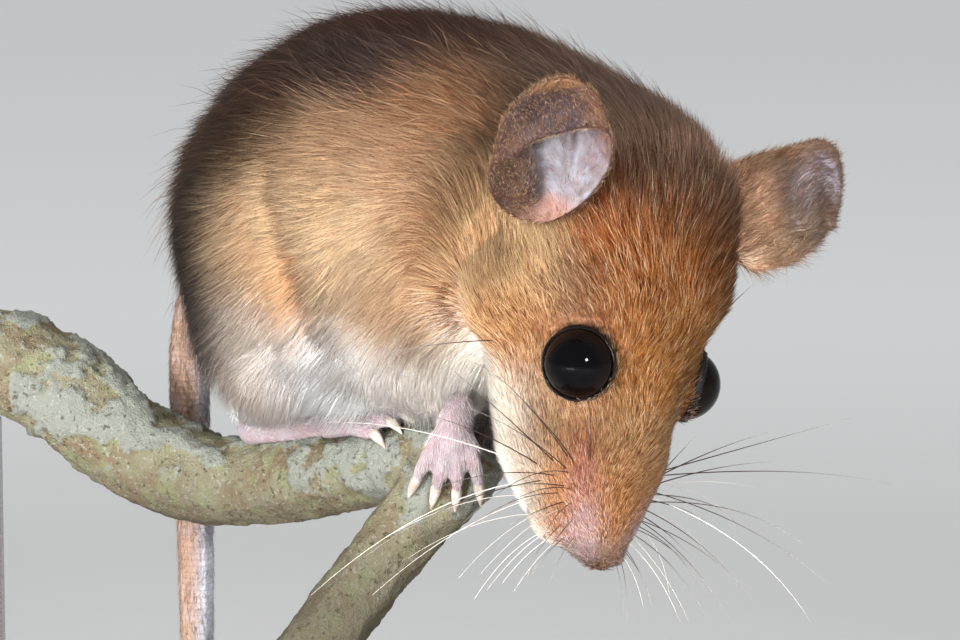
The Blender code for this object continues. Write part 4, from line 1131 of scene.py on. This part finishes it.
# Whiskers in rows, from long ones behind to short ones by the lip
whiskerLook = {
    "rows": 4, "inRow": 6, "root": 0.034, "tip": 0.006, "depth": 0.15, "steps": 13, "around": 5,
    "first": (3.7, 5.8, -0.2), "alongRow": (-1.5, 4.3, -0.8), "acrossRows": (0.3, 0.2, -2.8),
    "long": 16.0, "short": 3.6,
}
bristles = [  # root, way, length
    ((4.0, 6.2, 0.4), (1.0, -0.6, 0.3), 9.0), ((4.1, 6.7, 0.0), (1.0, -0.4, 0.2), 10.5),
    ((3.9, 7.6, -0.3), (1.0, 0.0, 0.1), 6.0), ((3.7, 8.4, -0.6), (1.0, 0.3, 0.1), 5.0),
    ((3.0, 6.4, 0.9), (0.5, -0.9, 0.5), 4.0), ((2.7, 7.1, 0.9), (-0.5, -0.9, 0.5), 4.2),
    ((2.5, 7.8, 0.7), (-0.7, -0.8, 0.5), 3.4), ((2.6, 8.7, 0.3), (-0.7, -0.5, 0.4), 2.2),
    ((5.6, -2.6, 3.4), (0.5, -1.0, 0.8), 4.0), ((6.9, -0.8, -3.6), (1.0, 0.1, -0.5), 6.0),
]


def whiskerPaint():
    paint = Paint("whiskers", Roughness=0.3, Specular_IOR_Level=0.6)
    tint = paint.attribute("tint", "Fac")
    return paint.coloured(paint.mix(tint, (236, 232, 226), (44, 26, 20)))


def whisker(tree, flip, spot, way, length, sag, thick, dark):  # flip mirrors the right side's values
    hit, up, _, _ = tree.find_nearest(Vector(placed(headPose, np.array(spot) * flip)))
    start = np.array(hit) - np.array(up) * whiskerLook["depth"]
    way, sag = unit(turned(headPose, np.array(way) * flip)), turned(headPose, np.array(sag) * flip)
    places, rows = np.linspace(0, 1, whiskerLook["steps"]), []
    for t in places:
        here = start + way * length * t + sag * length * t ** 2
        rows.append((*here, thick * (1 - t) ** 0.8 + whiskerLook["tip"]))
    points, faces = tubeArrays(rows, whiskerLook["around"])
    t = np.concatenate([np.repeat(places, whiskerLook["around"]), [0, 1]])
    return points, faces, np.clip(dark * (1.3 - 0.7 * t), 0, 1)


def makeWhiskers(look, tree):
    draw = np.random.default_rng(8)
    first, alongRow, acrossRows = (np.array(whiskerLook[key]) for key in ("first", "alongRow", "acrossRows"))
    made = []
    for sign in sides.values():
        flip = (sign, 1, 1)
        for row in range(whiskerLook["rows"]):
            for place in range(whiskerLook["inRow"]):
                t = (place + draw.uniform(-0.2, 0.2)) / (whiskerLook["inRow"] - 1)
                spot = first + alongRow * t + acrossRows * row / 3 * (1 - 0.35 * t)
                length = whiskerLook["long"] * max(1 - t, 0) ** 1.1 * draw.uniform(0.75, 1.05)
                length = length + whiskerLook["short"]
                ahead = -0.2 + 0.9 * t + draw.normal() * 0.12
                way = (1.0, ahead, 0.5 - 0.24 * row + draw.normal() * 0.1)
                sag = np.array((-0.12, 0.16 + 0.14 * t, -0.12)) + draw.normal(size=3) * 0.05
                dark = 0.95 if draw.random() < (0.8 if row < 2 else 0.4) else 0.3 * draw.random()
                thick = whiskerLook["root"] * (0.55 + 0.45 * (1 - t))
                made.append(whisker(tree, flip, spot, way, length, sag, thick, dark))
    # dark bristles beside the stripe, on the brow and on the cheek
    for spot, way, length in bristles:
        for sign in sides.values():
            made.append(whisker(tree, (sign, 1, 1), spot, way, length * draw.uniform(0.85, 1.15),
                                (0, 0.12, -0.1), 0.036, 1.0))
    points, faces = gathered([(points, faces) for points, faces, _ in made])
    piece = makeMesh("whiskers", points, faces, look, "fur")
    giveValues(piece.data, "tint", np.concatenate([dark for _, _, dark in made]))
    print("whiskers:", len(made))


# Feet: the solids' feet melted finer, in thin pink skin with a little white hair
footLook = {"voxel": 0.15, "swell": 0.06, "smooth": 4}
clawLook = {"bend": 0.33, "around": 14, "wide": 0.55, "from": 0.4, "drawnIn": 0.85}  # the last three: toes


def footPaint():
    paint = Paint("foot skin", Roughness=0.45, Subsurface_Weight=0.2, Subsurface_Scale=0.0006,
                  Specular_IOR_Level=0.35)
    blush = paint.between(paint.grain(1.3, 3), 0.35, 0.7)
    hue = paint.mix(blush, (146, 136, 142), (142, 120, 126))
    hue = paint.spotted(hue, 0.3, 3, 0.5, 0.75, 0.6, (164, 157, 164))
    scales = paint.between(paint.cells(0.22, "DISTANCE_TO_EDGE"), 0.0, 0.16)
    paint.bump(scales + paint.grain(0.4, 2), 0.5, 0.06)
    return paint.coloured(hue)


def footHues(points):
    return np.tile(np.array(tone(212, 204, 206)), (len(points), 1))


clawPlaces = {  # how each foot's claws bend, then where each toe ends and points
    "forepaw_right": ((-0.08, 0.85, -0.53), [
        ((-3.71, -6.85, 67.54), (-0.43, 0.14, -0.89)), ((-2.59, -6.9, 66.99), (-0.24, 0.11, -0.97)),
        ((-1.4, -6.89, 66.89), (-0.05, 0.12, -0.99)), ((-0.15, -6.82, 67.18), (0.17, 0.16, -0.97))]),
    "forepaw_left": ((-0.74, -0.42, -0.52), [
        ((1.06, -1.26, 66.37), (-0.43, 0.04, -0.9)), ((0.0, -0.57, 66.65), (-0.54, 0.13, -0.83)),
        ((-0.74, -0.06, 67.44), (-0.63, 0.19, -0.75)), ((-1.21, 0.29, 68.65), (-0.74, 0.24, -0.62))]),
    "hind_foot_right": ((0, 0, -1), [
        ((-3.65, 0.84, 70.08), (0.75, -0.66, 0.04)), ((-4.26, 0.05, 70.33), (0.72, -0.69, 0.08)),
        ((-5.01, -0.58, 70.25), (0.68, -0.73, 0.09)), ((-5.84, -1.0, 69.83), (0.66, -0.75, 0.06)),
        ((-6.87, -0.97, 69.06), (0.64, -0.77, -0.02))]),
    "hind_foot_left": ((0, 0, -1), [
        ((-4.79, 3.41, 69.06), (0.48, -0.83, 0.28)), ((-3.96, 3.51, 68.42), (0.55, -0.79, 0.26)),
        ((-3.51, 3.63, 67.54), (0.58, -0.79, 0.22)), ((-3.45, 3.75, 66.51), (0.58, -0.8, 0.16)),
        ((-3.92, 4.0, 65.37), (0.53, -0.84, 0.08))]),
}
# how far on from the toe's end, and the radius there
clawShape = [(0.2, 0.27), (0.45, 0.33), (0.75, 0.31), (1.0, 0.25), (1.2, 0.17), (1.4, 0.09), (1.52, 0.03)]


def clawPaint():
    paint = Paint("claw horn", Roughness=0.3, Specular_IOR_Level=0.5)
    streaks = paint.between(paint.grain(0.5, 3), 0.4, 0.7)
    paint.bump(paint.grain(0.15, 2), 0.3, 0.02)
    return paint.coloured(paint.mix(streaks, (158, 144, 134), (204, 192, 180)))


def makeClaws(node, look):  # curved horns that taper from the ends of the toes
    bend, places = clawPlaces[node]
    parts = []
    for tip, way in places:
        rows = []
        for on, radius in clawShape:
            spot = np.array(tip) + np.array(way) * on + np.array(bend) * clawLook["bend"] * on ** 2
            rows.append([*spot, radius])
        parts.append(tubeArrays(smoothPath(rows, 3), clawLook["around"]))
    makeMesh(node + "_claws", *gathered(parts), look, "skin")


def makeFoot(node, way, look, hairLook, seed):
    mesh = melted(nodeShell([node], footLook["swell"]), footLook["voxel"], footLook["smooth"])
    points = pointsOf(mesh)
    for tip, toe in clawPlaces[node][1]:  # the toe ends inside the root of its claw
        on = (points - tip) @ np.array(toe)
        aside = np.linalg.norm(points - tip - np.outer(on, toe), axis=1)
        past = np.where(aside < clawLook["wide"], np.maximum(on - clawLook["from"], 0), 0)
        points = points - np.outer(past * clawLook["drawnIn"], toe)
    movePoints(mesh, points)
    foot = addPiece(node + "_flesh", mesh, look)
    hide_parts(node)
    points, normals = pointsOf(mesh), normalsOf(mesh)
    top = step(normals[:, 2] * 0.6 - normals[:, 1] * 0.8, 0.0, 0.8)
    fur = furOver(foot, np.tile(unit(way), (len(points), 1)), 0.8, 18, 50 * top, footHues)
    growCoat(node + "_hairs", fur, top > 0.05, hairLook, 1, 0.016, down, seed, "skin")


# Tail: one length, ringed with fine scales
tailLook = {"voxel": 0.2, "swell": 0.2, "ring": 0.42}


def tailPaint():
    paint = Paint("tail skin", Roughness=0.5, Subsurface_Weight=0.1, Subsurface_Scale=0.0006)
    markingAndShade = paint.attribute("markingAndShade")
    turns = paint.height() * (math.tau / (tailLook["ring"] * mm))
    ring = paint.node("ShaderNodeMath", {"operation": "SINE"}, {0: turns})
    hue = paint.mix(paint.between(ring, 0.5, 1.0) * 0.3, markingAndShade, (104, 84, 80))
    hue = paint.spotted(hue, 2.0, 3, 0.45, 0.7, 0.3, (186, 178, 182))
    scales = paint.between(paint.cells(0.4, "DISTANCE_TO_EDGE"), 0, 0.2)
    paint.bump(ring * 0.5 + scales, 0.6, 0.06)
    return paint.coloured(hue)


def tailHues(points):
    side = step(points[:, 0] - points[:, 1] * 0.2 + 22.5, -0.6, 0.8) * (1 - 0.7 * step(points[:, 2], 68, 76))
    side = side[:, None]
    return np.array(tone(150, 124, 108)) * (1 - side) + np.array(tone(166, 174, 188)) * side


def makeTail(look, hairLook):
    names = sorted(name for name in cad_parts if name.startswith("tail_"))
    mesh = melted(nodeShell(names, tailLook["swell"]), tailLook["voxel"], 6)
    points, normals = pointsOf(mesh), normalsOf(mesh)
    points = points - normals * tailLook["swell"]
    movePoints(mesh, points)
    tail = addPiece("tail", mesh, look)
    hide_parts(*names)
    giveColours(mesh, "markingAndShade", tailHues(points))
    way = np.array((0, 0, -1.0)) + np.clip(points[:, 2:] - 70, 0, 12) * np.array((-0.05, 0.1, 0.0))
    fur = furOver(tail, way, 0.9, 18, 26, tailHues)
    growCoat("tail_hairs", fur, np.ones(len(points), bool), hairLook, 1, 0.016,
             dict(down, wander=0.1, loose=0.15), 61, "tail_skin")


# Perch: branch and stem grown together, with bark and crusts of lichen
perchLook = {"voxel": 0.26, "swell": 0.2, "crust": 0.34, "grit": 0.12, "stemTop": (0.058, 0.068)}


def barkPaint():
    paint = Paint("bark and lichen", Roughness=0.9, Specular_IOR_Level=0.2)
    crust = paint.attribute("crust", "Fac")
    big, fine = paint.grain(2.6, 5), paint.grain(0.5, 5, rough=0.7)
    hue = paint.mix(paint.between(big, 0.4, 0.6), (106, 94, 75), (117, 113, 94))
    hue = paint.spotted(hue, 1.4, 4, 0.5, 0.62, 0.7, (116, 120, 90))
    hue = paint.mix(paint.between(crust + 0.9 * (fine - 0.5), 0.3, 0.62), hue, (119, 122, 114))
    hue = paint.spotted(hue, 0.28, 4, 0.56, 0.68, 0.8, (138, 141, 133))
    pores = paint.between(paint.grain(0.42, 4, rough=0.7), 0.58, 0.7)
    hue = paint.mix(pores * 0.7, hue, (72, 64, 49))
    high = paint.between(paint.height(), *perchLook["stemTop"])
    hue = paint.mix((1 - high) * 0.75, hue, (66, 62, 52))  # painted shade: the stem, below the branch, is darker than the branch
    sawn = paint.mix(paint.between(paint.grain(0.5), 0.4, 0.7), (176, 152, 116), (138, 110, 78))
    hue = paint.mix(paint.attribute("wood", "Fac"), hue, sawn)
    paint.bump(fine + 0.7 * paint.grain(0.16, 3) - pores * 0.6, 0.9, 0.22)
    return paint.coloured(hue)


def makePerch(look):
    names = ["perch_branch", "perch_stem"]
    mesh = melted(nodeShell(names, perchLook["swell"]), perchLook["voxel"], 5)
    points, normals = pointsOf(mesh), normalsOf(mesh)
    left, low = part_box("perch_branch")[0].x / mm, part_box("perch_stem")[0].z / mm
    sawn = step(left - points[:, 0], -0.5, -0.1)
    sawn = sawn + step(low - points[:, 2], -0.8, -0.3) * (normals[:, 2] < -0.3)
    sawn = np.clip(sawn * (np.abs(normals[:, 0]) > 0.5), 0, 1)
    patchy = np.array([noise.fractal(Vector(p) * 0.33, 0.8, 2.1, 4) for p in points])
    grit = np.array([noise.noise(Vector(p) * 1.7) + 0.6 * noise.noise(Vector(p) * 3.6) for p in points])
    crust = step(patchy, -0.05, 0.25) * (1 - 0.75 * step(66 - points[:, 2], 0, 2.5))
    lift = perchLook["crust"] * (crust - 0.5) + perchLook["grit"] * grit * (0.6 + 0.8 * crust)
    points = points + normals * ((lift - perchLook["swell"] * 0.8) * (1 - sawn))[:, None]
    movePoints(mesh, points)
    perch = addPiece("perch", mesh, look)
    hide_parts(*names)
    giveValues(mesh, "crust", crust)
    giveValues(mesh, "wood", sawn)


# Stand: a wooden base and two steel rods, each in a collar
def woodPaint():
    paint = Paint("stand wood", Roughness=0.35, Coat_Weight=0.25, Coat_Roughness=0.25)
    where = paint.stretched((1, 9, 9))
    ring = paint.node("ShaderNodeTexNoise", {},
                      {"Vector": where, "Scale": 60, "Detail": 4.0, "Distortion": 0.6})
    pores = paint.node("ShaderNodeTexNoise", {}, {"Vector": where, "Scale": 420, "Detail": 2.0})
    hue = paint.mix(paint.between(ring, 0.3, 0.7), (92, 58, 38), (138, 92, 60))
    hue = paint.mix(paint.between(pores, 0.6, 0.75) * 0.6, hue, (60, 38, 26))
    paint.feed("Roughness", paint.between(pores, 0.3, 0.8, 0.3, 0.5))
    paint.bump(ring + pores, 0.25, 0.06)
    return paint.coloured(hue)


def steelPaint():
    paint = Paint("stand steel", Roughness=0.3, Metallic=1.0)
    where = paint.stretched((1, 1, 14))
    brush = paint.node("ShaderNodeTexNoise", {}, {"Vector": where, "Scale": 900, "Detail": 2.0})
    paint.feed("Roughness", paint.between(brush, 0.3, 0.7, 0.24, 0.42))
    return paint.coloured(paint.mix(brush * 0.4, (196, 196, 198), (164, 164, 168)))


# A collar's outline: outwards from its rod, and up from the base
collarShape = [(0.05, 0), (2.0, 0), (2.2, 0.3), (2.0, 1.0), (0.9, 1.5), (0.6, 2.6), (0.3, 2.9), (0.05, 2.9)]


def dressStand(woodLook, steelLook):
    for name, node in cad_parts.items():
        if name.startswith("stand_"):
            node.data.materials.clear()
            node.data.materials.append(woodLook if name == "stand_base" else steelLook)
    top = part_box("stand_base")[1].z / mm
    for name in ("stand_rod_1", "stand_rod_2"):
        low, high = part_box(name)
        middle = np.array(((low.x + high.x) / 2, (low.y + high.y) / 2, 0)) / mm
        radius = (high.x - low.x) / 2 / mm
        profile = [(radius + out, top + up) for out, up in collarShape]
        points, faces = revolved(profile, middle, (0, 0, 1.0), 48)
        makeMesh(name + "_collar", points, faces, steelLook, "stand_metal")


makeCamera()
makeStage()
makeLights()
skin, owner, body = makeSkin(skinPaint())
faceCoat, bodyCoat = coatPaint("face coat", 1.15), coatPaint("body coat", 0.8)
names = list(fleshParts)
inHead = seenFrom(headPose, body["point"])
sleek = {"wander": 0.2, "loose": 0.17, "lock": 9, "pull": 0.45, "stray": 7, "blur": 0.45}
soft = {"wander": 0.16, "loose": 0.13, "lock": 18, "pull": 0.3, "stray": 7, "blur": 0.7}
guard = {"wander": 0.15, "loose": 0.3, "lock": 1, "pull": 0.0, "stray": 8, "dense": 0.03, "long": 1.5,
         "lift": 1.35}
bodyCoats = [  # piece, width of a hair, and the nodes that it grows on
    ("coat_neck", 0.028, "neck"),
    ("coat_chest", 0.028, "chest"),
    ("coat_belly", 0.028, "belly"),
    ("coat_rump", 0.028, "rump"),
    ("coat_thigh_right", 0.027, "hind_leg_right"),
    ("coat_thigh_left", 0.027, "hind_leg_left"),
    ("coat_arms", 0.026, "foreleg_right", "foreleg_left"),
]


def ownedBy(*chosen):
    return np.isin(owner, [names.index(name) for name in chosen])


onHead = ownedBy("head")
growCoat("coat_muzzle", body, onHead & (inHead[:, 1] > 3.0), faceCoat, 1, 0.024, dict(sleek, dense=1.3), 21)
growCoat("coat_face", body, onHead & (inHead[:, 1] <= 3.0) & (inHead[:, 1] > -4.0), faceCoat, 1, 0.03,
         dict(sleek, dense=1.05), 22)
growCoat("coat_crown", body, onHead & (inHead[:, 1] <= -4.0), faceCoat, 1, 0.033, dict(sleek, lock=14), 23)
for seed, (name, width, *nodes) in enumerate(bodyCoats, 24):
    growCoat(name, body, ownedBy(*nodes), bodyCoat, 1, width, soft, seed)
inBody = seenFrom(bodyPose, body["point"])
behind = ~onHead & ((inBody[:, 2] > 6) | (inBody[:, 1] < -9))
growCoat("coat_guard", body, behind, bodyCoat, 2, 0.017, guard, 31)
eyeMaterial, lidMaterial = eyePaint(), lidPaint()
earMaterial, footMaterial, clawMaterial = earPaint(), footPaint(), clawPaint()
for side in sides:
    makeEye(side, eyeMaterial, lidMaterial)
    makeEar(side, earMaterial, faceCoat)
    makeFoot("hind_foot_" + side, (1, -0.6, 0), footMaterial, bodyCoat, 51 + sides[side])
    makeFoot("forepaw_" + side, (0, 0, -1), footMaterial, bodyCoat, 55 + sides[side])
    makeClaws("hind_foot_" + side, clawMaterial)
    makeClaws("forepaw_" + side, clawMaterial)
makeNose(nosePaint(), faceCoat)
corners = [tuple(face.vertices) for face in skin.data.polygons]
faceTree = BVHTree.FromPolygons([Vector(p) for p in body["point"]], corners)
makeWhiskers(whiskerPaint(), faceTree)
makeTail(tailPaint(), bodyCoat)
makePerch(barkPaint())
dressStand(woodPaint(), steelPaint())
